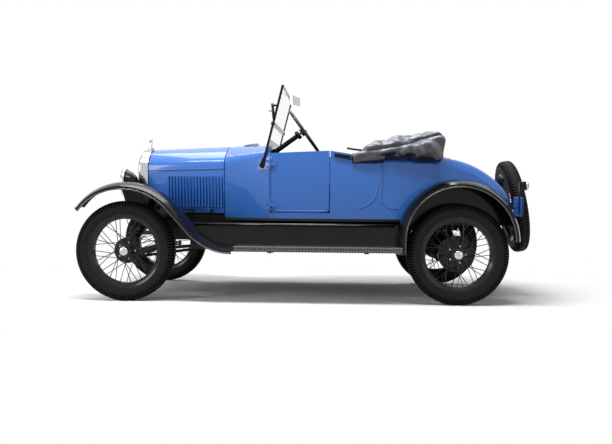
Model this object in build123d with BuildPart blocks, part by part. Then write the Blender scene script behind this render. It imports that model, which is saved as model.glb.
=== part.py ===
"""Two-seat roadster of the 1920s with wire wheels, a folded cloth top and a spare wheel.

Millimetres. The car stands on the ground at Z = 0 and faces -X, so its left side is -Y.
"""
import math
import os
from collections import namedtuple

from build123d import *

os.makedirs("parts", exist_ok=True)

# Stance
wheelbase = 2540.0
track = 1422.0
tyre_radius = 385.0
tyre_half_width = 57.0
tail_reach = 667.0
overall_length = tyre_radius + wheelbase + tail_reach
front_axle_x = tyre_radius - overall_length / 2
rear_axle_x = front_axle_x + wheelbase
axle_z = tyre_radius
wheel_y = track / 2

# Clearances: running pins, pieces fitted together, edges of doors and lids
pin_fit = 0.05
seat_gap = 0.3
shut_gap = 6.0

# Chassis frame of two channel rails
frame_top = 622.0
rail_height = 76.0
rail_width = 38.0
rail_outer = 292.0
rail_wall = 5.0
rail_overhang = 60.0
crossmember_width = 70.0
crossmember_depth = 50.0

# Wheels
rim_radius = 283.0
rim_seat_radius = 267.0
rim_well_radius = 246.0
rim_half_width = 53.0
hub_inner = 46.0
hub_outer = 78.0
hub_flange_radius = 100.0
hub_nose_radius = 33.0
spindle_radius = 15.0
spindle_reach = 60.0
spoke_count = 18
spoke_radius = 3.0
drum_radius = 140.0
drum_width = 40.0

# Steering
kingpin_radius = 10.0
kingpin_y = wheel_y - 91.0
eye_radius = 22.0
eye_half_height = 30.0
steering_arm = 150.0
arm_z = 345.0
tie_pin_radius = 8.0
tie_rod_radius = 10.0
tie_rod_z = 372.0
column_y = -225.0
column_rake = 36.0
column_radius = 20.0
steering_wheel_radius = 198.0
steering_rim_radius = 13.0
drop_arm_length = 130.0

# Body lengths along the car
radiator_lead = 22.0
radiator_depth = 84.0
hood_setback = 715.0
cowl_length = 380.0
door_length = 463.0
quarter_length = 400.0
wall = 30.0
cowl_wall = 22.0
hood_skin = 6.0

# Body heights, and half widths set in from the middle of the tyres
hood_bottom = 672.0
belt_z = 1160.0
door_bottom = 690.0
body_inset = 145.0
sill_tuck = 18.0
belt_tuck = 6.0
mid_half = wheel_y - body_inset
sill_half = mid_half - sill_tuck
belt_half = mid_half - belt_tuck
floor_thickness = 18.0

# Rear deck
deck_top = 1127.0
deck_tuck = 10.0
deck_taper = 86.0
deck_half = mid_half - deck_tuck
deck_tail_half = deck_half - deck_taper
deck_tail_reach = 458.0
deck_skin = 22.0
deck_crown_radius = 715.0
deck_tail_radius = 280.0
deck_break_angle = 47.0
deck_shoulder = 70.0
lid_margin = 140.0
lid_half = deck_tail_half - lid_margin
lid_length = 421.0
lid_hinge_lead = 40.0

# Fenders and boards
fender_outreach = 124.0
fender_outer = wheel_y + fender_outreach
fender_inner = mid_half
fender_skin = 5.0
fender_lip = 20.0
fender_crown = 52.0
front_crest_z = 862.0
front_crest_lead = 10.0
front_nose_radius = 408.0
front_nose_angle = 54.0
front_back_radius = 470.0
front_sweep_radius = 449.0
front_slope = 48.0
rear_fender_radius = 408.0
rear_fender_setback = 8.0
rear_fender_lift = 104.0
rear_fender_tail = 40.0
board_top = 434.0
board_thickness = 38.0
board_inner = mid_half + 38.0
apron_top = 596.0
apron_shelf = mid_half - 8.0
apron_skin = 5.0

# Windshield
windshield_rake = 13.9
windshield_half = mid_half - 20.0
windshield_height = 640.0
windshield_split = 330.0
post_width = 18.0

# Stations along the car
radiator_x = front_axle_x - radiator_lead
hood_front_x = radiator_x + radiator_depth + shut_gap
firewall_x = front_axle_x + hood_setback
hood_rear_x = firewall_x - shut_gap
cowl_rear_x = firewall_x + cowl_length
door_front_x = cowl_rear_x + shut_gap
door_rear_x = door_front_x + door_length
quarter_x = door_rear_x + shut_gap
seam_x = quarter_x + quarter_length
deck_tail_x = rear_axle_x + deck_tail_reach
tail_x = rear_axle_x + tail_reach


def across(x):
    """Upright plane across the car: sketch X is the car's +Y and sketch Y is up."""
    return Plane(origin=(x, 0, 0), x_dir=(0, 1, 0), z_dir=(1, 0, 0))


def keep(piece, name):
    """Label the finished piece and write its STEP file."""
    piece.label = name
    export_step(piece, f"parts/{name}.step")


# Outline of hood and body across the car, front to back
Section = namedtuple("Section", "x sill_half mid_half belt_half belt_z top_z shoulder")
radiator_section = Section(hood_front_x, 251.0, 263.0, 260.0, 1076.0, 1190.0, 80.0)
firewall_section = Section(firewall_x, 340.0, 370.0, 366.0, 1096.0, 1222.0, 90.0)
middle_x = firewall_x + 0.5 * cowl_length
cowl_section = Section(middle_x, 442.0, 472.0, 466.0, 1132.0, 1237.0, 80.0)
door_section = Section(cowl_rear_x, sill_half, mid_half, belt_half, belt_z, 1232.0, 55.0)


def body_face(section, inset, low_z):
    """Closed outline of one body section, drawn inwards by the inset."""
    sill = section.sill_half - inset
    middle = section.mid_half - inset
    belt = section.belt_half - inset
    belt_height = section.belt_z - 0.6 * inset
    middle_z = 0.5 * (low_z + belt_height)
    with BuildSketch() as face:
        with BuildLine():
            ThreePointArc((-sill, low_z), (-middle, middle_z), (-belt, belt_height))
            ThreePointArc((-belt, belt_height), (0, section.top_z - inset), (belt, belt_height))
            ThreePointArc((belt, belt_height), (middle, middle_z), (sill, low_z))
            Line((sill, low_z), (-sill, low_z))
        make_face()
        fillet(face.vertices().group_by(Axis.Y)[-1], radius=section.shoulder - 0.8 * inset)
    return face.sketch


# Tyre, made at the origin about the Y axis
bead_half = 0.78 * tyre_half_width
tread_half = 0.76 * tyre_half_width
tyre_bulge_radius = rim_radius + 0.45 * (tyre_radius - rim_radius)
shoulder_radius = tyre_radius - 9.0
with BuildPart() as tyre:
    with BuildSketch(Plane.XY):
        Polygon(
            (rim_seat_radius + seat_gap, -bead_half),
            (tyre_bulge_radius, -tyre_half_width),
            (shoulder_radius, -tread_half),
            (tyre_radius, -0.5 * tread_half),
            (tyre_radius, 0.5 * tread_half),
            (shoulder_radius, tread_half),
            (tyre_bulge_radius, tyre_half_width),
            (rim_seat_radius + seat_gap, bead_half),
            align=None,
        )
    revolve(axis=Axis.Y)

# Wire wheel, made at the origin with its outer side towards -Y
outer_flange_y = -30.0
inner_flange_y = 34.0
rim_spoke_y = 14.0
outer_spoke_start = 44.0
inner_spoke_start = 84.0
spoke_twist = 38.0
with BuildPart() as wire_wheel:
    with BuildSketch(Plane.XY):
        Polygon(
            (rim_seat_radius, -rim_half_width + 6),
            (rim_radius, -rim_half_width),
            (rim_well_radius, -0.55 * rim_half_width),
            (rim_well_radius, 0.55 * rim_half_width),
            (rim_radius, rim_half_width),
            (rim_seat_radius, rim_half_width - 6),
            align=None,
        )
    revolve(axis=Axis.Y)
    with BuildSketch(Plane.XY):
        Polygon(
            (spindle_radius + pin_fit, hub_inner),
            (hub_flange_radius, hub_inner),
            (hub_flange_radius, inner_flange_y - 4),
            (hub_nose_radius, inner_flange_y - 14),
            (hub_nose_radius, outer_flange_y + 14),
            (52, outer_flange_y + 5),
            (52, outer_flange_y - 5),
            (hub_nose_radius, outer_flange_y - 10),
            (hub_nose_radius, -hub_outer + 8),
            (hub_nose_radius - 8, -hub_outer),
            (0, -hub_outer),
            (0, -spindle_reach - 1),
            (spindle_radius + pin_fit, -spindle_reach - 1),
            align=None,
        )
    revolve(axis=Axis.Y)
    SpokeRow = namedtuple("SpokeRow", "hub_radius hub_y rim_y phase")
    for row in (
        SpokeRow(outer_spoke_start, outer_flange_y, -rim_spoke_y, 0.0),
        SpokeRow(inner_spoke_start, inner_flange_y, rim_spoke_y, 0.5),
    ):
        for number in range(spoke_count):
            twist = spoke_twist if number % 2 else -spoke_twist
            turn = math.radians((number + row.phase) * 360 / spoke_count)
            foot = turn + math.radians(twist)
            start = Vector(row.hub_radius * math.cos(foot), row.hub_y, row.hub_radius * math.sin(foot))
            reach = rim_well_radius + 3
            tip = Vector(reach * math.cos(turn), row.rim_y, reach * math.sin(turn))
            with BuildSketch(Plane(origin=start, z_dir=tip - start)):
                RegularPolygon(radius=spoke_radius, side_count=6)
        extrude(amount=(tip - start).length)

# Rear wheels carry a brake drum behind the hub
with BuildPart() as drum_wheel:
    add(wire_wheel.part)
    with BuildSketch(Plane.XZ.offset(-hub_inner)):
        Circle(drum_radius)
        Circle(spindle_radius + pin_fit, mode=Mode.SUBTRACT)
    extrude(amount=-drum_width)
    with BuildSketch(Plane.XZ.offset(-hub_inner - 6)):
        Circle(drum_radius - 6)
        Circle(spindle_radius + 12, mode=Mode.SUBTRACT)
    extrude(amount=-drum_width, mode=Mode.SUBTRACT)

# Four wheels on the ground, each with its tyre
Corner = namedtuple("Corner", "name x side wheel")
for corner in (
    Corner("front_left", front_axle_x, -1, wire_wheel),
    Corner("front_right", front_axle_x, 1, wire_wheel),
    Corner("rear_left", rear_axle_x, -1, drum_wheel),
    Corner("rear_right", rear_axle_x, 1, drum_wheel),
):
    turn = 0 if corner.side < 0 else 180
    place = Location((corner.x, corner.side * wheel_y, axle_z), (0, 0, turn))
    with BuildPart() as road_wheel:
        with Locations(place):
            add(corner.wheel.part)
    keep(road_wheel.part, f"wheel_{corner.name}")
    with BuildPart() as road_tyre:
        with Locations(place):
            add(tyre.part)
    keep(road_tyre.part, f"tyre_{corner.name}")

# Spare wheel, leaning forward at the top, its outer side to the back
spare_lean = 10.4
spare_z = 741.0
lean = math.radians(spare_lean)
spare_back = max(
    tyre_bulge_radius * math.sin(lean) + tyre_half_width * math.cos(lean),
    shoulder_radius * math.sin(lean) + tread_half * math.cos(lean),
    tyre_radius * math.sin(lean) + 0.5 * tread_half * math.cos(lean),
)
spare_x = tail_x - spare_back
spare_axis = Vector(math.cos(lean), 0, math.sin(lean))
spare_plane = Plane(origin=(spare_x, 0, spare_z), x_dir=(0, 1, 0), z_dir=spare_axis)
spare_place = spare_plane.location * Location((0, 0, 0), (-90, 0, 0))
with BuildPart() as spare_wheel:
    with Locations(spare_place):
        add(wire_wheel.part)
keep(spare_wheel.part, "spare_wheel")
with BuildPart() as spare_tyre:
    with Locations(spare_place):
        add(tyre.part)
keep(spare_tyre.part, "spare_tyre")

# Chassis frame: two channel rails and a crossmember over each axle
rail_front_x = front_axle_x - rail_overhang
rail_length = wheelbase + 2 * rail_overhang
rail_y = rail_outer - rail_width / 2
with BuildPart() as chassis_frame:
    with BuildSketch(across(rail_front_x)):
        with Locations((-rail_y, frame_top - rail_height / 2), (rail_y, frame_top - rail_height / 2)):
            Rectangle(rail_width, rail_height)
        with Locations(
            (-rail_y + rail_wall, frame_top - rail_height / 2),
            (rail_y - rail_wall, frame_top - rail_height / 2),
        ):
            Rectangle(rail_width, rail_height - 2 * rail_wall, mode=Mode.SUBTRACT)
    extrude(amount=rail_length)
    with Locations(
        (front_axle_x, 0, frame_top - crossmember_depth / 2),
        (rear_axle_x, 0, frame_top - crossmember_depth / 2),
    ):
        Box(crossmember_width, 2 * (rail_outer - rail_wall), crossmember_depth)
keep(chassis_frame.part, "chassis_frame")

# Engine and gearbox as one plain block with its arms to the rails and the crank socket
engine_front_x = front_axle_x + 130
engine_rear_x = firewall_x - 20
gearbox_rear_x = firewall_x + 290
crank_z = 488.0
crank_bore = 11.0
crank_socket_x = front_axle_x - 60
with BuildPart() as engine:
    with Locations(((engine_front_x + engine_rear_x) / 2, 0, 655)):
        Box(engine_rear_x - engine_front_x, 290, 430)
    with Locations(((engine_rear_x + gearbox_rear_x) / 2, 0, 525)):
        Box(gearbox_rear_x - engine_rear_x, 260, 160)
    with Locations((engine_rear_x - 30, 0, 580)):
        Box(50, 2 * (rail_outer - rail_wall), 40)
    with BuildSketch(across(crank_socket_x)):
        with Locations((0, crank_z)):
            Circle(crank_bore + 7)
    extrude(amount=engine_front_x - crank_socket_x)
    with BuildSketch(across(crank_socket_x)):
        with Locations((0, crank_z)):
            Circle(crank_bore)
    extrude(amount=60, mode=Mode.SUBTRACT)
keep(engine.part, "engine")

# Transverse leaf springs, the longest leaf lowest
leaf_count = 6
leaf_thickness = 7.0
spring_width = 46.0
spring_half = kingpin_y - 120.0
spring_top = frame_top - crossmember_depth
front_spring_drop = 118.0
rear_spring_drop = 84.0
low_top = spring_top - (leaf_count - 1) * leaf_thickness
with BuildPart() as leaf_springs:
    for axle_x, spring_drop in ((front_axle_x, front_spring_drop), (rear_axle_x, rear_spring_drop)):
        radius = (spring_half**2 + spring_drop**2) / (2 * spring_drop)
        centre_z = low_top - radius
        spread = math.degrees(math.asin(spring_half / radius))
        for leaf in range(leaf_count):
            half_angle = spread * (1 - 0.15 * leaf)
            outer = radius + leaf * leaf_thickness
            inner = outer - leaf_thickness
            with BuildSketch(across(axle_x - spring_width / 2)):
                with BuildLine():
                    top = CenterArc((0, centre_z), outer, 90 - half_angle, 2 * half_angle)
                    bottom = CenterArc((0, centre_z), inner, 90 - half_angle, 2 * half_angle)
                    Line(top @ 0, bottom @ 0)
                    Line(top @ 1, bottom @ 1)
                make_face()
        extrude(amount=spring_width)
keep(leaf_springs.part, "leaf_springs")
front_spring_end_z = low_top - front_spring_drop - leaf_thickness
rear_spring_end_z = low_top - rear_spring_drop - leaf_thickness

# Front axle: dropped I-beam, spring perches and the radius rods below it
beam_depth = 46.0
beam_width = 36.0
beam_drop = 40.0
rod_ball_x = front_axle_x + 900
rod_ball_z = 425.0
with BuildPart() as front_axle:
    with BuildSketch(across(front_axle_x - beam_width / 2)):
        with BuildLine():
            Polyline(
                (-kingpin_y, axle_z - beam_depth / 2),
                (-kingpin_y + 60, axle_z - beam_depth / 2),
                (-kingpin_y + 150, axle_z - beam_depth / 2 - beam_drop),
                (kingpin_y - 150, axle_z - beam_depth / 2 - beam_drop),
                (kingpin_y - 60, axle_z - beam_depth / 2),
                (kingpin_y, axle_z - beam_depth / 2),
                (kingpin_y, axle_z + beam_depth / 2),
                (kingpin_y - 60, axle_z + beam_depth / 2),
                (kingpin_y - 150, axle_z + beam_depth / 2 - beam_drop),
                (-kingpin_y + 150, axle_z + beam_depth / 2 - beam_drop),
                (-kingpin_y + 60, axle_z + beam_depth / 2),
                (-kingpin_y, axle_z + beam_depth / 2),
                close=True,
            )
        make_face()
    extrude(amount=beam_width)
    for face_x in (front_axle_x - beam_width / 2, front_axle_x + beam_width / 2):
        with Locations((face_x, 0, axle_z - beam_drop)):
            Box(20, 2 * (kingpin_y - 160), beam_depth - 18, mode=Mode.SUBTRACT)
    perch_z = axle_z + beam_depth / 2 - beam_drop
    with Locations((front_axle_x, -spring_half + 16, 0), (front_axle_x, spring_half - 16, 0)):
        with Locations((0, 0, (perch_z - 8 + front_spring_end_z) / 2)):
            Box(34, 30, front_spring_end_z - perch_z + 8)
    for side in (-1, 1):
        start = Vector(front_axle_x, side * (kingpin_y - 170), axle_z - beam_drop - beam_depth / 2 - 6)
        end = Vector(rod_ball_x, side * 6, rod_ball_z)
        with BuildSketch(Plane(origin=start, z_dir=end - start)):
            Circle(12)
        extrude(amount=(end - start).length)
        with Locations((front_axle_x, side * (kingpin_y - 170), start.Z + 4)):
            Box(34, 34, 20)
    with Locations((rod_ball_x, 0, rod_ball_z)):
        Sphere(19.5)
    with Locations((front_axle_x, -kingpin_y, axle_z), (front_axle_x, kingpin_y, axle_z)):
        Cylinder(eye_radius, 2 * eye_half_height)
    with Locations((front_axle_x, -kingpin_y, axle_z), (front_axle_x, kingpin_y, axle_z)):
        Cylinder(kingpin_radius + pin_fit, 3 * eye_half_height, mode=Mode.SUBTRACT)
keep(front_axle.part, "front_axle")

# Steering knuckle: forked round the axle eye, with the spindle and an arm pointing back
lug_thickness = 16.0
lug_z = eye_half_height + 2 + lug_thickness / 2
fork_y = eye_radius + 4
spindle_end_y = wheel_y + spindle_reach
with BuildPart() as knuckle:
    with Locations((0, 0, 0)):
        Cylinder(kingpin_radius, 2 * lug_z + lug_thickness + 6)
    with Locations((0, 0, lug_z), (0, 0, -lug_z)):
        Cylinder(eye_radius, lug_thickness)
    with Locations((0, -(fork_y + 12) / 2, lug_z), (0, -(fork_y + 12) / 2, -lug_z)):
        Box(34, fork_y + 12, lug_thickness)
    with Locations((0, -fork_y - 6, 0)):
        Box(34, 12, 2 * lug_z + lug_thickness)
    with BuildSketch(Plane.XZ.offset(fork_y + 6)):
        Circle(spindle_radius)
    extrude(amount=spindle_end_y - kingpin_y - fork_y - 6)
    with Locations((steering_arm / 2, 0, arm_z - axle_z)):
        Box(steering_arm, 22, lug_thickness - 4)
    with Locations((steering_arm, 0, arm_z - axle_z)):
        Cylinder(14, lug_thickness - 4)
    with BuildSketch(Plane.XY.offset(arm_z - axle_z)):
        with Locations((steering_arm, 0)):
            Circle(tie_pin_radius)
    extrude(amount=tie_rod_z - arm_z + 14)
with BuildPart() as knuckle_left:
    with Locations((front_axle_x, -kingpin_y, axle_z)):
        add(knuckle.part)
keep(knuckle_left.part, "knuckle_left")
with BuildPart() as knuckle_right:
    add(knuckle_left.part)
    mirror(about=Plane.XZ, mode=Mode.REPLACE)
keep(knuckle_right.part, "knuckle_right")

# Steering column line: from the wheel hub down and forward to the drop arm
rake = math.radians(column_rake)
column_axis = Vector(math.cos(rake), 0, math.sin(rake))
arm_axis = Vector(math.sin(rake), 0, -math.cos(rake))
steering_hub = Vector(front_axle_x + 1346, column_y, 1346)
shaft_end = steering_hub - column_axis * ((steering_hub.Z - 480) / math.sin(rake))
drop_ball = shaft_end + arm_axis * drop_arm_length
ball_radius = 13.0

# Tie rod between the arms, with the drag link that reaches under the drop arm's ball
tie_x = front_axle_x + steering_arm
link_z = drop_ball.Z - ball_radius - 0.5 - tie_rod_radius
clamp_y = 290.0
with BuildPart() as tie_rod:
    with BuildSketch(Plane.XZ.offset(-kingpin_y)):
        with Locations((tie_x, tie_rod_z)):
            Circle(tie_rod_radius)
    extrude(amount=2 * kingpin_y)
    with Locations((tie_x, -kingpin_y, tie_rod_z), (tie_x, kingpin_y, tie_rod_z)):
        Cylinder(16, 2 * tie_rod_radius + 4)
    with Locations((tie_x, -kingpin_y, tie_rod_z), (tie_x, kingpin_y, tie_rod_z)):
        Cylinder(tie_pin_radius + pin_fit, 40, mode=Mode.SUBTRACT)
    with Locations((tie_x, clamp_y, tie_rod_z)):
        Box(30, 34, 36)
    link_start = Vector(tie_x, clamp_y, tie_rod_z)
    link_end = Vector(drop_ball.X, drop_ball.Y, link_z)
    with BuildSketch(Plane(origin=link_start, z_dir=link_end - link_start)):
        Circle(tie_rod_radius - 1)
    extrude(amount=(link_end - link_start).length)
    with Locations((drop_ball.X, drop_ball.Y, link_z)):
        Cylinder(15, 2 * tie_rod_radius)
keep(tie_rod.part, "tie_rod")

# Drop arm on the foot of the steering shaft
with BuildPart() as drop_arm:
    with BuildSketch(Plane(origin=shaft_end - column_axis * 12, z_dir=column_axis)):
        Circle(19)
    extrude(amount=24)
    with BuildSketch(Plane(origin=shaft_end, x_dir=(0, 1, 0), z_dir=arm_axis)):
        Rectangle(20, 14)
    extrude(amount=drop_arm_length)
    with Locations(drop_ball):
        Sphere(ball_radius)
keep(drop_arm.part, "drop_arm")

# Steering column with its bracket on the left rail
jacket_start = shaft_end + column_axis * 13
jacket_end = steering_hub - column_axis * 40
bracket_z = frame_top - rail_height / 2
bracket_x = steering_hub.X - (steering_hub.Z - bracket_z) / math.tan(rake)
with BuildPart() as steering_column:
    with BuildSketch(Plane(origin=jacket_start, z_dir=column_axis)):
        Circle(column_radius)
    extrude(amount=(jacket_end - jacket_start).length)
    with BuildSketch(Plane(origin=jacket_end - column_axis * 30, z_dir=column_axis)):
        Circle(column_radius + 14)
    extrude(amount=30)
    with BuildSketch(Plane(origin=jacket_end, z_dir=column_axis)):
        Circle(8)
    extrude(amount=58)
    with Locations((bracket_x, (column_y - rail_outer + rail_wall) / 2, bracket_z)):
        Box(60, column_y + rail_outer - rail_wall, 40)
    for side in (-1, 1):
        lever_start = jacket_end - column_axis * 40
        with BuildSketch(Plane(origin=lever_start, z_dir=(0, side, 0.25))):
            Circle(4.5)
        extrude(amount=130)
keep(steering_column.part, "steering_column")

# Steering wheel: rim, four spokes and a hub
with BuildPart() as steering_wheel:
    hub_plane = Plane(origin=steering_hub, x_dir=(0, 1, 0), z_dir=column_axis)
    with Locations(hub_plane.location):
        Torus(steering_wheel_radius, steering_rim_radius)
        with Locations((0, 0, -13)):
            Cylinder(32, 34)
        with PolarLocations(steering_wheel_radius / 2, 4, start_angle=45):
            Box(steering_wheel_radius, 20, 9)
        with Locations((0, 0, -13)):
            Cylinder(8 + pin_fit, 60, mode=Mode.SUBTRACT)
keep(steering_wheel.part, "steering_wheel")

# Rear axle: differential, tubes, brake plates, torque tube and radius rods
plate_y = wheel_y - hub_inner - drum_width
torque_front_x = gearbox_rear_x + seat_gap
rear_spring_y = spring_half - 16
with BuildPart() as rear_axle:
    with Locations((rear_axle_x, 0, axle_z)):
        Sphere(128)
    with BuildSketch(Plane.XZ.offset(-plate_y)):
        with Locations((rear_axle_x, axle_z)):
            Circle(38)
    extrude(amount=2 * plate_y)
    for side in (-1, 1):
        with BuildSketch(Plane.XZ.offset(side * (plate_y - 4))):
            with Locations((rear_axle_x, axle_z)):
                Circle(drum_radius - 2)
        extrude(amount=-side * 5)
        with BuildSketch(Plane.XZ.offset(side * (plate_y - 8))):
            with Locations((rear_axle_x, axle_z)):
                Circle(spindle_radius)
        extrude(amount=side * (wheel_y + spindle_reach - plate_y + 8))
        with Locations((rear_axle_x, side * rear_spring_y, (axle_z + 20 + rear_spring_end_z) / 2)):
            Box(40, 30, rear_spring_end_z - axle_z - 20)
        start = Vector(rear_axle_x, side * (plate_y - 50), axle_z - 10)
        end = Vector(torque_front_x + 120, side * 20, axle_z + 96)
        with BuildSketch(Plane(origin=start, z_dir=end - start)):
            Circle(11)
        extrude(amount=(end - start).length)
    tube_start = Vector(torque_front_x, 0, axle_z + 105)
    tube_end = Vector(rear_axle_x, 0, axle_z)
    tube_way = tube_end - tube_start
    with BuildSketch(Plane(origin=tube_start + tube_way * 0.02, z_dir=tube_way)):
        Circle(34)
    extrude(amount=tube_way.length * 0.98)
    with Locations((torque_front_x + 45, 0, axle_z + 103)):
        Box(90, 110, 110)
keep(rear_axle.part, "rear_axle")

# Exhaust: pipe, silencer and tail pipe along the right rail
muffler_x = front_axle_x + 1580
muffler_y = 185.0
muffler_z = 548.0
muffler_radius = 60.0
pipe_y = 170.0
pipe_z = 530.0
with BuildPart() as exhaust:
    with BuildSketch(across(engine_rear_x - 120)):
        with Locations((pipe_y, pipe_z)):
            Circle(22)
    extrude(amount=muffler_x - engine_rear_x + 120)
    with BuildSketch(across(muffler_x)):
        with Locations((muffler_y, muffler_z)):
            Circle(muffler_radius)
    extrude(amount=470)
    with BuildSketch(across(muffler_x + 470)):
        with Locations((muffler_y, muffler_z)):
            Circle(18)
    extrude(amount=170)
    with Locations((muffler_x + 235, (muffler_y + rail_outer - rail_wall) / 2, muffler_z + 26)):
        Box(40, rail_outer - rail_wall - muffler_y, 30)
    with Locations((engine_rear_x - 100, 150, pipe_z)):
        Box(60, 10, 60)
keep(exhaust.part, "exhaust")

# Radiator shell with its core and filler cap
shell_band = 24.0
shell_top = 1196.0
shell_section = radiator_section._replace(
    sill_half=262.0, mid_half=270.0, belt_half=266.0, belt_z=1078.0, top_z=shell_top, shoulder=84.0
)
core_inset = shell_band + seat_gap
with BuildPart() as radiator_shell:
    with BuildSketch(across(radiator_x)):
        add(body_face(shell_section, 0, frame_top))
    extrude(amount=radiator_depth)
    fillet(radiator_shell.faces().sort_by(Axis.X)[0].edges().sort_by(Axis.Z)[1:], radius=20)
    with BuildSketch(across(radiator_x)):
        add(body_face(shell_section, shell_band, frame_top - 20))
    extrude(amount=radiator_depth, mode=Mode.SUBTRACT)
    with Locations((radiator_x + radiator_depth / 2 + 10, 0, frame_top + 20)):
        Box(radiator_depth - 20, 2 * (262 - shell_band + 4), 40)
keep(radiator_shell.part, "radiator_shell")
with BuildPart() as radiator_core:
    with BuildSketch(across(radiator_x + 14)):
        add(body_face(shell_section, core_inset, frame_top - 20))
    extrude(amount=radiator_depth - 16)
    with Locations((radiator_x + radiator_depth / 2, 0, frame_top + 40 + seat_gap - 100)):
        Box(2 * radiator_depth, 600, 200, mode=Mode.SUBTRACT)
keep(radiator_core.part, "radiator_core")
cap_x = radiator_x + 47
with BuildPart() as radiator_cap:
    with Locations((cap_x, 0, shell_top + 8)):
        Cylinder(26, 18)
    with Locations((cap_x, 0, shell_top + 35)):
        Cylinder(10, 50)
    with BuildSketch(across(cap_x - 9)):
        with Locations((0, shell_top + 76)):
            Circle(28)
    extrude(amount=18)
    with Locations((cap_x, 0, shell_top - 100)):
        Box(100, 100, 200, mode=Mode.SUBTRACT)
keep(radiator_cap.part, "radiator_cap")

# Hood: a skin from radiator to firewall, parted at the centre and along the side hinges
hinge_front_z = 1076.0
hinge_rear_z = 1094.0
hood_rod_radius = 7.0
hood_rear_section = firewall_section._replace(x=hood_rear_x)
with BuildPart() as hood_skin_part:
    for section in (radiator_section, hood_rear_section):
        with BuildSketch(across(section.x)):
            add(body_face(section, 0, hood_bottom))
    loft(ruled=True)
    for section in (radiator_section, hood_rear_section):
        with BuildSketch(across(section.x)):
            add(body_face(section, hood_skin, hood_bottom - 20))
    loft(ruled=True, mode=Mode.SUBTRACT)
hinge_way = Vector(hood_rear_x - hood_front_x, 0, hinge_rear_z - hinge_front_z)
hinge_plane = Plane(
    origin=(hood_front_x, 0, hinge_front_z), x_dir=hinge_way, z_dir=(-hinge_way.Z, 0, hinge_way.X)
)
with BuildPart() as hood_top_left:
    add(hood_skin_part.part)
    split(bisect_by=hinge_plane.offset(seat_gap), keep=Keep.TOP)
    split(bisect_by=Plane.XZ.offset(hood_rod_radius + 0.5), keep=Keep.TOP)
keep(hood_top_left.part, "hood_top_left")
with BuildPart() as hood_top_right:
    add(hood_top_left.part)
    mirror(about=Plane.XZ, mode=Mode.REPLACE)
keep(hood_top_right.part, "hood_top_right")

# Hood sides with a row of upright louvres
louvre_count = 18
louvre_low = 722.0
louvre_high = 970.0
louvre_depth = 12.0
louvre_slot = 5.0
louvre_front_x = front_axle_x + 228
louvre_pitch = 26.4
with BuildPart() as hood_side_left:
    add(hood_skin_part.part)
    split(bisect_by=hinge_plane, keep=Keep.BOTTOM)
    split(bisect_by=Plane.XZ.offset(hood_rod_radius + 0.5), keep=Keep.TOP)
    for number in range(louvre_count):
        louvre_x = louvre_front_x + number * louvre_pitch
        share = (louvre_x - hood_front_x) / (hood_rear_x - hood_front_x)
        skin_y = radiator_section.mid_half + share * (firewall_section.mid_half - radiator_section.mid_half)
        flare = (firewall_section.mid_half - radiator_section.mid_half) / (hood_rear_x - hood_front_x)
        with BuildSketch(Plane.XY.offset(louvre_low)):
            Polygon(
                (louvre_x, -skin_y + 5),
                (louvre_x, -skin_y + 1),
                (louvre_x + 15, -skin_y - 15 * flare - louvre_depth),
                (louvre_x + 17, -skin_y - 15 * flare - louvre_depth),
                (louvre_x + 17, -skin_y - 15 * flare + 5),
                align=None,
            )
    extrude(amount=louvre_high - louvre_low)
    for number in range(louvre_count):
        slot_x = louvre_front_x + number * louvre_pitch + 17 + louvre_slot / 2
        share = (slot_x - hood_front_x) / (hood_rear_x - hood_front_x)
        slot_y = radiator_section.mid_half + share * (firewall_section.mid_half - radiator_section.mid_half)
        with Locations((slot_x, -slot_y + hood_skin, (louvre_low + louvre_high) / 2)):
            Box(louvre_slot, 10 * hood_skin, louvre_high - louvre_low - 20, mode=Mode.SUBTRACT)
keep(hood_side_left.part, "hood_side_left")
with BuildPart() as hood_side_right:
    add(hood_side_left.part)
    mirror(about=Plane.XZ, mode=Mode.REPLACE)
keep(hood_side_right.part, "hood_side_right")

# Rod that the hood turns on, from the radiator shell to the cowl
rod_start = Vector(radiator_x + radiator_depth + 0.5, 0, radiator_section.top_z - hood_skin / 2)
rod_end = Vector(firewall_x - 0.5, 0, firewall_section.top_z - hood_skin / 2)
with BuildPart() as hood_rod:
    with BuildSketch(Plane(origin=rod_start, z_dir=rod_end - rod_start)):
        Circle(hood_rod_radius)
    extrude(amount=(rod_end - rod_start).length)
keep(hood_rod.part, "hood_rod")

# Cowl from firewall to doors, hollow, with the filled outline kept for trimming what sits on it
cowl_sections = (firewall_section, cowl_section, door_section)
with BuildPart() as cowl_fill:
    for section in cowl_sections:
        with BuildSketch(across(section.x)):
            add(body_face(section, 0, frame_top + floor_thickness))
    loft()
with BuildPart() as cowl:
    add(cowl_fill.part)
    for section in cowl_sections:
        with BuildSketch(across(section.x)):
            add(body_face(section, cowl_wall, frame_top - 40))
    loft(mode=Mode.SUBTRACT)
keep(cowl.part, "cowl")
with BuildPart() as cowl_room:
    for section in cowl_sections:
        with BuildSketch(across(section.x)):
            add(body_face(section, cowl_wall + 0.8, frame_top + floor_thickness))
    loft()

# Firewall and dash panel across the cowl
firewall_thickness = 20.0
with BuildPart() as firewall:
    add(cowl_room.part)
    split(bisect_by=across(firewall_x + firewall_thickness), keep=Keep.BOTTOM)
    with BuildSketch(Plane(origin=steering_hub, z_dir=column_axis)):
        Circle(column_radius + 6)
    extrude(amount=-1200, mode=Mode.SUBTRACT)
keep(firewall.part, "firewall")
dash_x = cowl_rear_x - 60
with BuildPart() as dash_panel:
    add(cowl_room.part)
    split(bisect_by=across(dash_x), keep=Keep.TOP)
    split(bisect_by=across(dash_x + 18), keep=Keep.BOTTOM)
    split(bisect_by=Plane.XY.offset(1045), keep=Keep.TOP)
    with BuildSketch(Plane(origin=steering_hub, z_dir=column_axis)):
        Circle(column_radius + 8)
    extrude(amount=-1200, mode=Mode.SUBTRACT)
keep(dash_panel.part, "dash_panel")

# Side wall section of the body from sill to belt
belt_wall_top = belt_z + 30


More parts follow.
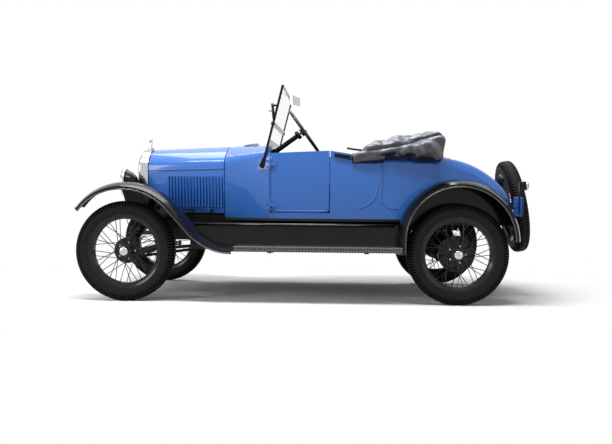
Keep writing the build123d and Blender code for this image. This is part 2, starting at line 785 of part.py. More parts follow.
def side_wall(x_from, x_to, outset):
    """Left body wall between two stations, drawn outwards by the outset."""
    middle_z = 0.5 * (frame_top + floor_thickness + belt_z)
    low_z = frame_top
    with BuildPart() as strip:
        with BuildSketch(across(x_from)):
            with BuildLine():
                skin = ThreePointArc(
                    (-sill_half - outset, low_z),
                    (-mid_half - outset, middle_z),
                    (-belt_half - outset, belt_wall_top),
                )
                lining = ThreePointArc(
                    (-sill_half + wall + outset, low_z),
                    (-mid_half + wall + outset, middle_z),
                    (-belt_half + wall + outset, belt_wall_top),
                )
                Line(skin @ 0, lining @ 0)
                Line(skin @ 1, lining @ 1)
            make_face()
        extrude(amount=x_to - x_from)
    return strip.part


# Doors, hinged at the front edge, with their knuckles on the outside
door_front_z = belt_z - 9
door_rear_z = belt_z + 12
door_hinge_y = -mid_half - 12.0
door_hinge_x = door_front_x - shut_gap / 2
door_pin_radius = 5.0
knuckle_zs = (door_bottom + 56, belt_z - 95)
with BuildPart() as door_left:
    add(side_wall(door_front_x, door_rear_x, 0))
    with BuildSketch(Plane.XZ) as door_face:
        Polygon(
            (door_front_x, door_bottom),
            (door_rear_x, door_bottom),
            (door_rear_x, door_rear_z),
            (door_front_x, door_front_z),
            align=None,
        )
        fillet(door_face.vertices().group_by(Axis.Y)[0], radius=28)
    extrude(amount=800, mode=Mode.INTERSECT)
    for knuckle_z in knuckle_zs:
        with Locations((door_hinge_x + 25, door_hinge_y + 12, knuckle_z)):
            Box(50, 32, 26)
        with Locations((door_hinge_x, door_hinge_y, knuckle_z)):
            Cylinder(9, 26)
            Cylinder(door_pin_radius + pin_fit, 60, mode=Mode.SUBTRACT)
keep(door_left.part, "door_left")
with BuildPart() as door_right:
    add(door_left.part)
    mirror(about=Plane.XZ, mode=Mode.REPLACE)
keep(door_right.part, "door_right")

# Hinge leaves and pins that stay on the cowl
with BuildPart() as door_hinges:
    for knuckle_z in knuckle_zs:
        with Locations((door_hinge_x, door_hinge_y, knuckle_z)):
            Cylinder(door_pin_radius, 62)
        with Locations((door_hinge_x, door_hinge_y, knuckle_z + 23), (door_hinge_x, door_hinge_y, knuckle_z - 23)):
            Cylinder(9, 16)
        for leaf_z in (knuckle_z - 23, knuckle_z + 23):
            with Locations((door_hinge_x - 16, door_hinge_y + 12, leaf_z)):
                Box(32, 24, 16)
    add(cowl_fill.part, mode=Mode.SUBTRACT)
    mirror(about=Plane.XZ)
keep(door_hinges.part, "door_hinges")

# Rear deck as a solid of side profile and plan, used filled for trims and hollowed for the shell
deck_arc_x = rear_axle_x - 140
break_angle = math.radians(deck_break_angle)


def deck_solid(inset, low_z, front_x):
    """Rear deck drawn inwards by the inset, open front and bottom left to the caller."""
    crown = deck_crown_radius - inset
    tail = deck_tail_radius - inset
    with BuildPart() as deck:
        with BuildSketch(Plane.XZ):
            with BuildLine():
                flat = Line((front_x, deck_top - inset), (deck_arc_x, deck_top - inset))
                slope = JernArc(flat @ 1, (1, 0), crown, -deck_break_angle)
                drop = JernArc(slope @ 1, slope % 1, tail, -(90 - deck_break_angle))
                foot = Line(drop @ 1, ((drop @ 1).X, low_z))
                base = Line(foot @ 1, (front_x, low_z))
                Line(base @ 1, flat @ 0)
            make_face()
        extrude(amount=700, both=True)
        tail_end = deck_arc_x + crown * math.sin(break_angle) + tail * (1 - math.sin(break_angle))
        taper = (deck_half - deck_tail_half) / (deck_tail_x - seam_x)
        front_half = deck_half + (seam_x - front_x) * taper - inset
        tail_half = deck_half - (tail_end + 1 - seam_x) * taper - inset
        with BuildSketch(Plane.XY.offset(low_z)) as plan:
            Polygon(
                (front_x, -front_half),
                (tail_end + 1, -tail_half),
                (tail_end + 1, tail_half),
                (front_x, front_half),
                align=None,
            )
            fillet(plan.vertices().group_by(Axis.X)[-1], radius=110 - inset)
        extrude(amount=deck_top, mode=Mode.INTERSECT)
        shoulders = deck.edges().filter_by(
            lambda edge: abs(edge.center().Y) > lid_half
            and edge.center().Z > low_z + 1
            and abs((edge @ 0).X - (edge @ 1).X) > deck_shoulder
        )
        fillet(shoulders, radius=deck_shoulder - inset)
    return deck.part


deck_low = frame_top + floor_thickness
deck_fill = deck_solid(0, deck_low, seam_x + seat_gap)
deck_hole = deck_solid(deck_skin, frame_top - 40, seam_x - 20)
deck_keepout = deck_solid(-seat_gap, deck_low - 1, seam_x - 20)
lid_x = rear_axle_x - lid_hinge_lead
lid_axis_z = deck_top - deck_crown_radius + math.sqrt(deck_crown_radius**2 - (lid_x - deck_arc_x) ** 2)
lid_hinge_z = lid_axis_z + 12
lid_pin_radius = 5.0
lid_hinge_ys = (-0.6 * lid_half, 0.6 * lid_half)
with BuildPart() as lid_space:
    with BuildSketch(Plane.XZ):
        with Locations((lid_x, lid_hinge_z)):
            Circle(lid_length + shut_gap)
    extrude(amount=lid_half + shut_gap, both=True)
    with Locations((lid_x - 500, 0, lid_axis_z)):
        Box(1000, 2000, 2000, mode=Mode.SUBTRACT)
with BuildPart() as rear_deck:
    add(deck_fill)
    add(deck_hole, mode=Mode.SUBTRACT)
    add(lid_space.part, mode=Mode.SUBTRACT)
    for hinge_y in lid_hinge_ys:
        with BuildSketch(Plane.XZ.offset(-hinge_y - 32)):
            with Locations((lid_x, lid_hinge_z)):
                Circle(lid_pin_radius)
        extrude(amount=64)
        for leaf_y in (hinge_y - 24, hinge_y + 24):
            with Locations((lid_x - 16, leaf_y, lid_hinge_z - 6)):
                Box(32, 16, 18)
keep(rear_deck.part, "rear_deck")
with BuildPart() as deck_lid:
    with BuildSketch(Plane.XZ):
        with Locations((lid_x, lid_hinge_z)):
            Circle(lid_length)
    extrude(amount=lid_half, both=True)
    with Locations((lid_x - 500 + shut_gap, 0, lid_axis_z)):
        Box(1000, 2000, 2000, mode=Mode.SUBTRACT)
    add(deck_fill, mode=Mode.INTERSECT)
    add(deck_hole, mode=Mode.SUBTRACT)
    for hinge_y in lid_hinge_ys:
        with Locations((lid_x + 20, hinge_y, lid_hinge_z - 8)):
            Box(40, 28, 20)
        with BuildSketch(Plane.XZ.offset(-hinge_y - 14)):
            with Locations((lid_x, lid_hinge_z)):
                Circle(9)
        extrude(amount=28)
        with BuildSketch(Plane.XZ.offset(-hinge_y - 20)):
            with Locations((lid_x, lid_hinge_z)):
                Circle(lid_pin_radius + pin_fit)
        extrude(amount=40, mode=Mode.SUBTRACT)
keep(deck_lid.part, "deck_lid")

# Rear body: sills under the doors, quarter panels and the wall behind the seat
sill_top = door_bottom - shut_gap
with BuildPart() as rear_body:
    add(side_wall(cowl_rear_x + seat_gap, seam_x, 0))
    with BuildSketch(Plane.XZ):
        Polygon(
            (cowl_rear_x, deck_low),
            (seam_x, deck_low),
            (seam_x, deck_top),
            (quarter_x + 235, deck_top),
            (quarter_x + 155, belt_z - 12),
            (quarter_x, door_rear_z),
            (quarter_x, sill_top),
            (cowl_rear_x, sill_top),
            align=None,
        )
    extrude(amount=800, mode=Mode.INTERSECT)
    mirror(about=Plane.XZ)
    with Locations((seam_x - wall / 2, 0, (deck_low + deck_top) / 2)):
        Box(wall, 2 * (sill_half - 10), deck_top - deck_low)
keep(rear_body.part, "rear_body")

# Floor boards over the frame, with the box under the seat
seat_box_x = quarter_x - 90
seat_box_top = 800.0
floor_half = sill_half - 12
with BuildPart() as floor_boards:
    with BuildSketch(Plane.XY.offset(frame_top)):
        Polygon(
            (firewall_x, -firewall_section.sill_half + 6),
            (cowl_rear_x, -floor_half),
            (seam_x, -floor_half),
            (deck_tail_x - 80, -deck_tail_half + 20),
            (deck_tail_x - 80, deck_tail_half - 20),
            (seam_x, floor_half),
            (cowl_rear_x, floor_half),
            (firewall_x, firewall_section.sill_half - 6),
            align=None,
        )
    extrude(amount=floor_thickness)
    with BuildSketch(Plane.XY.offset(deck_low)):
        with Locations(((seat_box_x + seam_x - wall) / 2, 0)):
            Rectangle(seam_x - wall - seat_box_x, 2 * (sill_half - wall - 20))
    extrude(amount=seat_box_top - deck_low)
keep(floor_boards.part, "floor_boards")

# Seat: a cushion on the box and a leaning back
seat_half = sill_half - wall - 18.0
cushion_height = 130.0
back_thickness = 105.0
with BuildPart() as seat_cushion:
    with BuildSketch(Plane.XY.offset(seat_box_top)):
        with Locations(((seat_box_x - 20 + seam_x - wall - back_thickness - 30) / 2, 0)):
            RectangleRounded(seam_x - wall - back_thickness - seat_box_x - 10, 2 * seat_half, 30)
    extrude(amount=cushion_height)
    fillet(seat_cushion.faces().sort_by(Axis.Z)[-1].edges(), radius=28)
keep(seat_cushion.part, "seat_cushion")
with BuildPart() as seat_back:
    with BuildSketch(Plane.XZ):
        Polygon(
            (seam_x - wall, seat_box_top + 30),
            (seam_x - wall, deck_top - 10),
            (seam_x - wall - 10, deck_top + 18),
            (seam_x - wall - 85, deck_top + 18),
            (seam_x - wall - back_thickness, deck_top - 20),
            (seam_x - wall - back_thickness - 40, seat_box_top + cushion_height + seat_gap),
            (seam_x - wall - 60, seat_box_top + cushion_height + seat_gap),
            (seam_x - wall - 60, seat_box_top + 30),
            align=None,
        )
    extrude(amount=seat_half, both=True)
keep(seat_back.part, "seat_back")

# Windshield: two posts beside the cowl, rails and a split frame, leaning back
lean_back = math.radians(windshield_rake)
windshield_x = front_axle_x + 1040
windshield_base = Vector(windshield_x, 0, 1060)
windshield_up = Vector(math.sin(lean_back), 0, math.cos(lean_back))
windshield_plane = Plane(
    origin=windshield_base, x_dir=(0, 1, 0), z_dir=Vector(0, 1, 0).cross(windshield_up)
)
frame_low = 192.0
rail_thick = 16.0
with BuildPart() as windshield_frame:
    with BuildSketch(windshield_plane):
        with Locations((-windshield_half, windshield_height / 2), (windshield_half, windshield_height / 2)):
            Rectangle(post_width, windshield_height)
        with Locations(
            (0, frame_low + rail_thick / 2),
            (0, windshield_split - rail_thick / 2 - 1),
            (0, windshield_split + rail_thick / 2 + 1),
            (0, windshield_height - rail_thick / 2),
        ):
            Rectangle(2 * windshield_half, rail_thick)
        with Locations((0, frame_low - 45)):
            Rectangle(2 * windshield_half, 90)
        with Locations((0, windshield_split)):
            Rectangle(24, 24)
    extrude(amount=post_width / 2, both=True)
    for side in (-1, 1):
        foot_y = side * (windshield_half - 3)
        with BuildSketch(Plane.XZ.offset(-foot_y - post_width / 2)):
            with BuildLine():
                Polyline(
                    (windshield_x + 26, 1122),
                    (windshield_x - 4, 1112),
                    (windshield_x - 24, 1062),
                )
                ThreePointArc(
                    (windshield_x - 24, 1062), (windshield_x - 12, 1034), (windshield_x + 10, 1040)
                )
                Line((windshield_x + 10, 1040), (windshield_x + 26, 1122))
            make_face()
        extrude(amount=post_width)
    add(cowl_fill.part, mode=Mode.SUBTRACT)
keep(windshield_frame.part, "windshield_frame")
pane_half = windshield_half - post_width / 2 - seat_gap
with BuildPart() as windshield_glass:
    with BuildSketch(windshield_plane):
        low = frame_low + rail_thick + seat_gap
        high = windshield_split - rail_thick - 1 - seat_gap
        with Locations((0, (low + high) / 2)):
            Rectangle(2 * pane_half, high - low)
        low = windshield_split + rail_thick + 1 + seat_gap
        high = windshield_height - rail_thick - seat_gap
        with Locations((0, (low + high) / 2)):
            Rectangle(2 * pane_half, high - low)
    extrude(amount=3, both=True)
keep(windshield_glass.part, "windshield_glass")

# Mirror on an arm from the top rail, turned to the driver
mirror_top = windshield_base + windshield_up * (windshield_height - rail_thick / 2)
with BuildPart() as rear_mirror:
    with Locations(Location((mirror_top.X + 66, 60, mirror_top.Z - 50), (0, 0, -22))):
        Box(12, 165, 72)
    with Locations((mirror_top.X + 36, 60, mirror_top.Z - 8)):
        Box(54, 12, 8)
    with Locations((mirror_top.X + 62, 60, mirror_top.Z - 22)):
        Box(8, 12, 36)
    add(windshield_frame.part, mode=Mode.SUBTRACT)
keep(rear_mirror.part, "rear_mirror")

# Folded top: a bag across the body behind the seat with arms along its sides
bag_half = 598.0
bag_front_x = quarter_x + 155
bag_rear_x = rear_axle_x - 90
bag_top = 1330.0
with BuildPart() as body_keepout:
    add(side_wall(cowl_rear_x, seam_x + 20, seat_gap))
    with BuildSketch(Plane.XZ):
        Polygon(
            (cowl_rear_x, frame_top),
            (seam_x + 20, frame_top),
            (seam_x + 20, deck_top + seat_gap),
            (quarter_x + 235, deck_top + seat_gap),
            (quarter_x + 155, belt_z - 12 + seat_gap),
            (quarter_x, door_rear_z + seat_gap),
            align=None,
        )
    extrude(amount=800, mode=Mode.INTERSECT)
    mirror(about=Plane.XZ)
    with Locations((seam_x - wall / 2, 0, (deck_low + deck_top) / 2)):
        Box(wall + 2 * seat_gap, 2 * sill_half, deck_top - deck_low + 2 * seat_gap)
    add(deck_keepout)
with BuildPart() as folded_top:
    with BuildSketch(Plane.XZ):
        with BuildLine():
            Polyline(
                (seam_x + 14, deck_top - 20),
                (seam_x + 14, 1235),
                (seam_x + 60, 1278),
                (seam_x + 250, 1290),
                (bag_rear_x - 60, bag_top),
                (bag_rear_x, bag_top - 20),
                (bag_rear_x + 10, 1210),
                (bag_rear_x - 10, deck_top - 16),
                (bag_rear_x - 40, deck_top - 34),
                close=True,
            )
        make_face()
    extrude(amount=bag_half, both=True)
    with BuildSketch(Plane.XZ.offset(bag_half)):
        Polygon(
            (bag_front_x, belt_z - 20),
            (bag_front_x + 10, belt_z - 92),
            (seam_x + 20, deck_top - 50),
            (seam_x + 20, 1262),
            (bag_front_x + 170, 1255),
            align=None,
        )
    extrude(amount=-(bag_half - seat_half - 4))
    with BuildSketch(Plane.XZ.offset(-bag_half)):
        Polygon(
            (bag_front_x, belt_z - 20),
            (bag_front_x + 10, belt_z - 92),
            (seam_x + 20, deck_top - 50),
            (seam_x + 20, 1262),
            (bag_front_x + 170, 1255),
            align=None,
        )
    extrude(amount=bag_half - seat_half - 4)
    add(body_keepout.part, mode=Mode.SUBTRACT)
keep(folded_top.part, "folded_top")

# Irons that the top folds on
with BuildPart() as top_irons:
    with BuildSketch(Plane.XZ.offset(mid_half + 2)):
        Polygon(
            (quarter_x + 30, belt_z - 8),
            (quarter_x + 30, belt_z - 34),
            (bag_front_x + 4, belt_z - 60),
            (bag_front_x - 1, belt_z - 26),
            align=None,
        )
    extrude(amount=12)
    with BuildSketch(Plane.XZ.offset(belt_half - 10)):
        with Locations((quarter_x + 42, belt_z - 22)):
            Circle(9)
    extrude(amount=30)
    add(body_keepout.part, mode=Mode.SUBTRACT)
    add(folded_top.part, mode=Mode.SUBTRACT)
    mirror(about=Plane.XZ)
keep(top_irons.part, "top_irons")

# Fender across: a crowned skin with a turned-down lip
fender_middle = 0.5 * (fender_outer + fender_inner) + 20
fender_low = fender_crown - fender_skin
fender_foot = board_top - fender_crown


def fender_section(plane, low):
    """Left fender across, from its inner edge to the turned-down lip, filled down to the low side."""
    with BuildSketch(plane) as strip:
        with BuildLine():
            Line((-fender_outer, 0), (-fender_outer, fender_lip))
            ThreePointArc(
                (-fender_outer, fender_lip), (-fender_middle, fender_crown),
                (-fender_inner, fender_crown - 12),
            )
            Line((-fender_inner, fender_crown - 12), (-fender_inner, low - 12))
            ThreePointArc(
                (-fender_inner, low - 12), (-fender_middle, low),
                (-fender_outer + fender_skin, fender_lip - 2),
            )
            Line((-fender_outer + fender_skin, fender_lip - 2), (-fender_outer + fender_skin, 0))
            Line((-fender_outer + fender_skin, 0), (-fender_outer, 0))
        make_face()
    return strip.sketch


# Rear fenders: half a hoop over the wheel, straight down to the running board in front, closed
# towards the body by a flat inner panel
arch_low_z = apron_top + 4
hoop_x = rear_axle_x + rear_fender_setback
hoop_z = axle_z + rear_fender_lift
hoop_front = Plane(origin=(hoop_x - rear_fender_radius, 0, hoop_z), x_dir=(0, 1, 0), z_dir=(0, 0, 1))
hoop_rear = Plane(origin=(hoop_x + rear_fender_radius, 0, hoop_z), x_dir=(0, 1, 0), z_dir=(0, 0, -1))
with BuildPart() as rear_fenders:
    add(fender_section(hoop_front, fender_low))
    revolve(axis=Axis((hoop_x, 0, hoop_z), (0, 1, 0)), revolution_arc=180)
    add(fender_section(hoop_front, fender_low))
    extrude(amount=-(hoop_z - fender_foot))
    add(fender_section(hoop_rear, fender_low))
    extrude(amount=rear_fender_tail)
    with BuildSketch(Plane.XZ.offset(fender_inner)):
        with Locations((hoop_x, hoop_z)):
            Circle(rear_fender_radius + fender_crown - 14)
        with Locations((hoop_x, arch_low_z - rear_fender_radius)):
            Rectangle(4 * rear_fender_radius, 2 * rear_fender_radius, mode=Mode.SUBTRACT)
    extrude(amount=fender_skin)
    add(deck_keepout, mode=Mode.SUBTRACT)
    mirror(about=Plane.XZ)
keep(rear_fenders.part, "rear_fenders")
with BuildPart() as fender_foot_fill:
    with BuildSketch(hoop_front):
        with BuildLine():
            outer_edge = ThreePointArc(
                (-fender_outer - seat_gap, fender_lip),
                (-fender_middle, fender_crown + seat_gap),
                (-fender_inner, fender_crown - 12 + seat_gap),
            )
            Polyline(
                outer_edge @ 1,
                (-fender_inner + 60, fender_crown - 12 + seat_gap),
                (-fender_inner + 60, -150),
                (-fender_outer - seat_gap, -150),
                outer_edge @ 0,
            )
        make_face()
    extrude(amount=400, both=True)

# Splash aprons between frame and running boards
apron_front_x = front_axle_x + 478
board_rear_x = hoop_x - rear_fender_radius
with BuildPart() as splash_aprons:
    with BuildSketch(across(apron_front_x)):
        Polygon(
            (-rail_outer, apron_top),
            (-apron_shelf, apron_top),
            (-board_inner, board_top),
            (-board_inner, board_top - board_thickness),
            (-board_inner + apron_skin, board_top - board_thickness),
            (-board_inner + apron_skin, board_top),
            (-apron_shelf + apron_skin, apron_top - apron_skin),
            (-rail_outer, apron_top - apron_skin),
            align=None,
        )
    extrude(amount=board_rear_x - apron_front_x)
    add(fender_foot_fill.part, mode=Mode.SUBTRACT)
    mirror(about=Plane.XZ)
keep(splash_aprons.part, "splash_aprons")

# Front fender line: nose, back, straight slope and the sweep into the running board
slope_angle = math.radians(front_slope)
nose_angle = math.radians(front_nose_angle)
crest = Vector(front_axle_x - front_crest_lead, front_crest_z)
turned = (front_back_radius + front_sweep_radius) * (1 - math.cos(slope_angle))
slope_length = (front_crest_z - fender_foot - turned) / math.sin(slope_angle)
nose_tip = Vector(
    crest.X - front_nose_radius * math.sin(nose_angle),
    crest.Y - front_nose_radius * (1 - math.cos(nose_angle)),
)


def front_fender_z(x):
    """Height of the front fender's lip line above the ground behind its crest."""
    back = crest.X + front_back_radius * math.sin(slope_angle)
    if x < crest.X:
        return front_crest_z
    if x < back:
        return front_crest_z - front_back_radius + math.sqrt(front_back_radius**2 - (x - crest.X) ** 2)
    drop = front_back_radius * (1 - math.cos(slope_angle))
    return front_crest_z - drop - (x - back) * math.tan(slope_angle)


with BuildPart() as front_fenders:
    with BuildLine(Plane.XZ) as fender_line:
        nose = JernArc(
            (nose_tip.X, nose_tip.Y), (math.cos(nose_angle), math.sin(nose_angle)),
            front_nose_radius, -front_nose_angle,
        )
        back = JernArc(nose @ 1, nose % 1, front_back_radius, -front_slope)
        slide = PolarLine(back @ 1, slope_length, -front_slope)
        run = JernArc(slide @ 1, slide % 1, front_sweep_radius, front_slope)
    nose_plane = Plane(
        origin=(nose_tip.X, 0, nose_tip.Y),
        x_dir=(0, 1, 0),
        z_dir=(math.cos(nose_angle), 0, math.sin(nose_angle)),
    )
    add(fender_section(nose_plane, fender_low))
    sweep(path=fender_line.wires()[0])
    for station in (-80, 0, 80, 160, 260, 360, 440):
        top_z = front_fender_z(front_axle_x + station) + fender_crown - 14
        with BuildSketch(across(front_axle_x + station)):
            Polygon(
                (-fender_inner - 4, top_z + 1),
                (-rail_outer, frame_top - 4),
                (-rail_outer, frame_top - 10),
                (-fender_inner - 4, top_z - 6),
                align=None,
            )
    loft(ruled=True)
    with BuildSketch(across(apron_front_x - seat_gap)):
        Polygon(
            (-rail_outer + 50, apron_top + seat_gap),
            (-apron_shelf - seat_gap, apron_top + seat_gap),
            (-board_inner - seat_gap, board_top),
            (-board_inner - seat_gap, board_top - 200),
            (-rail_outer + 50, board_top - 200),
            align=None,
        )
    extrude(amount=1200, mode=Mode.SUBTRACT)
    mirror(about=Plane.XZ)
keep(front_fenders.part, "front_fenders")
fender_end_x = (
    crest.X
    + (front_back_radius + front_sweep_radius) * math.sin(slope_angle)
    + slope_length * math.cos(slope_angle)
)

# Shelves along the rails that the hood sides close on
shelf_top = hood_bottom - shut_gap - 6
with BuildPart() as hood_shelves:
    with BuildSketch(Plane.XY.offset(frame_top)):
        Polygon(
            (hood_front_x, -rail_outer + rail_width),
            (hood_front_x, -rail_outer),
            (hood_rear_x, -rail_outer),
            (hood_rear_x, -rail_outer + rail_width),
            align=None,
        )
    extrude(amount=shelf_top - frame_top)
    mirror(about=Plane.XZ)
    add(front_fenders.part, mode=Mode.SUBTRACT)
keep(hood_shelves.part, "hood_shelves")

# Running boards with their brackets to the rails
board_front_x = fender_end_x + seat_gap
with BuildPart() as running_boards:
    with BuildSketch(Plane.XY.offset(board_top - board_thickness)):
        with Locations(((board_front_x + board_rear_x) / 2, -(board_inner + fender_outer + seat_gap) / 2)):
            Rectangle(board_rear_x - board_front_x, fender_outer - board_inner - seat_gap)
    extrude(amount=board_thickness)
    fillet(running_boards.edges().filter_by(Axis.X).sort_by(Axis.Y)[:2], radius=8)
    for share in (0.22, 0.78):
        bracket_x = board_front_x + share * (board_rear_x - board_front_x)
        with BuildSketch(across(bracket_x - 15)):
            Polygon(
                (-rail_outer, frame_top - rail_height + 20),
                (-board_inner + 14, board_top - board_thickness - 8),
                (-board_inner - 10, board_top - board_thickness - 8),
                (-board_inner - 10, board_top - board_thickness),
                (-fender_outer + 20, board_top - board_thickness),
                (-fender_outer + 20, board_top - board_thickness - 10),
                (-board_inner + 4, board_top - board_thickness - 26),
                (-rail_outer, frame_top - rail_height),
                align=None,
            )
    extrude(amount=30)
    add(fender_foot_fill.part, mode=Mode.SUBTRACT)
    mirror(about=Plane.XZ)
keep(running_boards.part, "running_boards")

# Headlamps on a bar between the front fenders, with their lenses
lamp_y = 392.0
lamp_z = 912.0
lamp_x = front_axle_x - 95
lamp_radius = 108.0
bar_z = 788.0
bar_radius = 11.0
apron_slope = (fender_inner + 4 - rail_outer) / (front_crest_z + fender_crown - 13 - frame_top + 4)
bar_half = rail_outer + (bar_z - bar_radius - frame_top + 4) * apron_slope - seat_gap
with BuildPart() as headlamps:
    for side in (-1, 1):
        with BuildSketch(Plane(origin=(lamp_x, side * lamp_y, lamp_z), x_dir=(1, 0, 0), z_dir=(0, -1, 0))):
            with BuildLine():
                Polyline(
                    (0, 0),
                    (0, lamp_radius),
                    (22, lamp_radius),
                    (26, lamp_radius - 8),
                    (62, lamp_radius - 24),
                    (96, 0.48 * lamp_radius),
                    (116, 0.14 * lamp_radius),
                    (120, 0),
                    close=True,
                )
            make_face()
        revolve(axis=Axis((lamp_x, side * lamp_y, lamp_z), (1, 0, 0)))
        with Locations((lamp_x + 28, side * (lamp_y - 30), bar_z + 20)):
            Cylinder(bar_radius + 3, 50)
    with BuildSketch(Plane.XZ.offset(-bar_half)):
        with Locations((lamp_x + 28, bar_z)):
            Circle(bar_radius)
    extrude(amount=2 * bar_half)
    add(front_fenders.part, mode=Mode.SUBTRACT)
keep(headlamps.part, "headlamps")
lens_half = lamp_radius - 10
lens_bulge = 22.0
lens_radius = (lens_half**2 + lens_bulge**2) / (2 * lens_bulge)
half_cap = 0.5 * math.asin(lens_half / lens_radius)
lens_middle = (
    lens_radius - lens_bulge - seat_gap - lens_radius * math.cos(half_cap),
    lens_radius * math.sin(half_cap),
)
with BuildPart() as headlamp_lenses:
    for side in (-1, 1):
        with BuildSketch(Plane(origin=(lamp_x, side * lamp_y, lamp_z), x_dir=(1, 0, 0), z_dir=(0, -1, 0))):
            with BuildLine():
                Line((-seat_gap, 0), (-seat_gap, lens_half))
                ThreePointArc((-seat_gap, lens_half), lens_middle, (-seat_gap - lens_bulge, 0))
                Line((-seat_gap - lens_bulge, 0), (-seat_gap, 0))
            make_face()
        revolve(axis=Axis((lamp_x, side * lamp_y, lamp_z), (1, 0, 0)))
keep(headlamp_lenses.part, "headlamp_lenses")

# Spare wheel carrier: two bars from the frame and a post to the wheel's hub
hub_face = Vector(spare_x, 0, spare_z) - spare_axis * (hub_inner + seat_gap)
with BuildPart() as spare_carrier:
    with BuildSketch(spare_plane.offset(-hub_inner - seat_gap)):
        Circle(75)
    extrude(amount=-10)
    with BuildSketch(Plane(origin=(0, 20, 0), x_dir=(1, 0, 0), z_dir=(0, -1, 0))):
        Polygon(
            (rear_axle_x + crossmember_width / 2, frame_top - 8),
            (deck_tail_x + 8, frame_top - 8),
            (hub_face.X - 9, spare_z + 20),
            (hub_face.X - 9, spare_z - 40),
            (deck_tail_x + 26, frame_top - 36),
            (rear_axle_x + crossmember_width / 2, frame_top - 36),
            align=None,
        )
    extrude(amount=40)
keep(spare_carrier.part, "spare_carrier")

# Tail lamp and blank plate on a bracket from the left rear fender
tail_lamp_y = -fender_inner - 54.0
tail_lamp_x = rear_axle_x + 508
bracket_z = 740.0
bracket_x = hoop_x + math.sqrt((rear_fender_radius + fender_crown - 7.5) ** 2 - (bracket_z - hoop_z) ** 2)
with BuildPart() as tail_lamp:
    with BuildSketch(across(tail_lamp_x - 28)):
        with Locations((tail_lamp_y, 910)):
            Circle(33)
    extrude(amount=48)
    with Locations((tail_lamp_x - 30, tail_lamp_y, 820)):
        Box(8, 30, 240)
    with Locations((tail_lamp_x - 26, tail_lamp_y + 60, 750)):
        Box(6, 300, 146)
    with BuildSketch(Plane.XY.offset(bracket_z - 4)):
        Polygon(
            (bracket_x, tail_lamp_y - 15),
            (tail_lamp_x - 30, tail_lamp_y - 15),
            (tail_lamp_x - 30, tail_lamp_y + 15),
            (bracket_x, tail_lamp_y + 15),
            align=None,
        )
    extrude(amount=8)
    add(rear_fenders.part, mode=Mode.SUBTRACT)
keep(tail_lamp.part, "tail_lamp")

# Pedals and the brake lever on the floor
with BuildPart() as floor_controls:
    for pedal_y in (-320, -130, -60):
        with Locations((firewall_x + 150, pedal_y, deck_low + 70)):
            Box(14, 14, 140)
        with Locations(Location((firewall_x + 150, pedal_y, deck_low + 150), (0, 35, 0))):
            Box(12, 62, 80)
    with Locations((firewall_x + 150, -190, deck_low + 6)):
        Box(30, 290, 12)
    with Locations((firewall_x + 330, -430, deck_low + 190)):
        Box(26, 12, 380)
keep(floor_controls.part, "floor_controls")
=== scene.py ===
import math

import bmesh
import bpy
import numpy as np
from mathutils import Matrix, Vector, noise
from mathutils.bvhtree import BVHTree


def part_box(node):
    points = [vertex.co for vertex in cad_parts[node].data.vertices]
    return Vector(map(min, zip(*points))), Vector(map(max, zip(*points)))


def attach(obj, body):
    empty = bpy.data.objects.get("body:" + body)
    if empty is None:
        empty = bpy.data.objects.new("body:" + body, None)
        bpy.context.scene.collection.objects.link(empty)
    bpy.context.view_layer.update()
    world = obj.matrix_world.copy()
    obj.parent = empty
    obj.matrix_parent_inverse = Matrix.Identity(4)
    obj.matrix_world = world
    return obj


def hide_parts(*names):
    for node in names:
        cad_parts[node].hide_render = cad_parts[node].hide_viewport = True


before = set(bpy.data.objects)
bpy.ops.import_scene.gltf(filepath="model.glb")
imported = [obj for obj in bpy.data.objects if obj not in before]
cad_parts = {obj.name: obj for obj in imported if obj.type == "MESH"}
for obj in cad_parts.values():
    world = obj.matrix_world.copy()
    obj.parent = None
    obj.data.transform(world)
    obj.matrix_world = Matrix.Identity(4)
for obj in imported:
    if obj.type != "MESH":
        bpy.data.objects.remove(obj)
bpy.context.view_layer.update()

# Chassis: two pressed channel rails, the axles, leaf springs and steering rods under the car.
# All of it is steel, brushed with black chassis paint, a little dusty and less shiny than the fenders.


def lin(code):
    """Linear RGBA of an sRGB hex colour."""
    parts = [int(code[i:i + 2], 16) / 255 for i in (1, 3, 5)]
    return tuple(c / 12.92 if c <= 0.04045 else ((c + 0.055) / 1.055) ** 2.4 for c in parts) + (1.0,)


def node(tree, kind, settings=None, links=None):
    """Add a node, set its sockets or properties, and link its inputs."""
    made = tree.nodes.new(kind)
    for key, value in (settings or {}).items():
        if isinstance(key, int) or key in made.inputs:
            made.inputs[key].default_value = value
        else:
            setattr(made, key, value)
    for key, source in (links or {}).items():
        tree.links.new(source, made.inputs[key])
    return made


def material(name, settings=None):
    """A new material with its node tree and its main shader, whose own sockets take the settings."""
    made = bpy.data.materials.new(name)
    made.use_nodes = True
    main = made.node_tree.nodes["Principled BSDF"]
    for key, value in (settings or {}).items():
        main.inputs[key].default_value = value
    return made, made.node_tree, main


def finish(coat, *nodes):
    """Give CAD nodes their finish."""
    for name in nodes:
        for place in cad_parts[name].material_slots:
            place.material = coat


# Brushed chassis black: a thin satin film with road dust, so it is dull and a little uneven.
chassis_black, tree, shader = material("brushed_chassis_black", {"Specular IOR Level": 0.15})
spots = node(tree, "ShaderNodeTexCoord")
dust = node(tree, "ShaderNodeTexNoise", {"Scale": 1 / 0.045, "Detail": 6.0}, {"Vector": spots.outputs["Object"]})
shade = node(tree, "ShaderNodeMix", {"data_type": "RGBA", 6: lin("#08090A"), 7: lin("#191815")},
             {0: dust.outputs["Fac"]})
dull = node(tree, "ShaderNodeMapRange", {"To Min": 0.38, "To Max": 0.62}, {"Value": dust.outputs["Fac"]})
brush = node(tree, "ShaderNodeTexNoise", {"Scale": 1 / 0.004}, {"Vector": spots.outputs["Object"]})
ridge = node(tree, "ShaderNodeBump", {"Strength": 0.15, "Distance": 0.0008}, {"Height": brush.outputs["Fac"]})
tree.links.new(shade.outputs[2], shader.inputs["Base Color"])
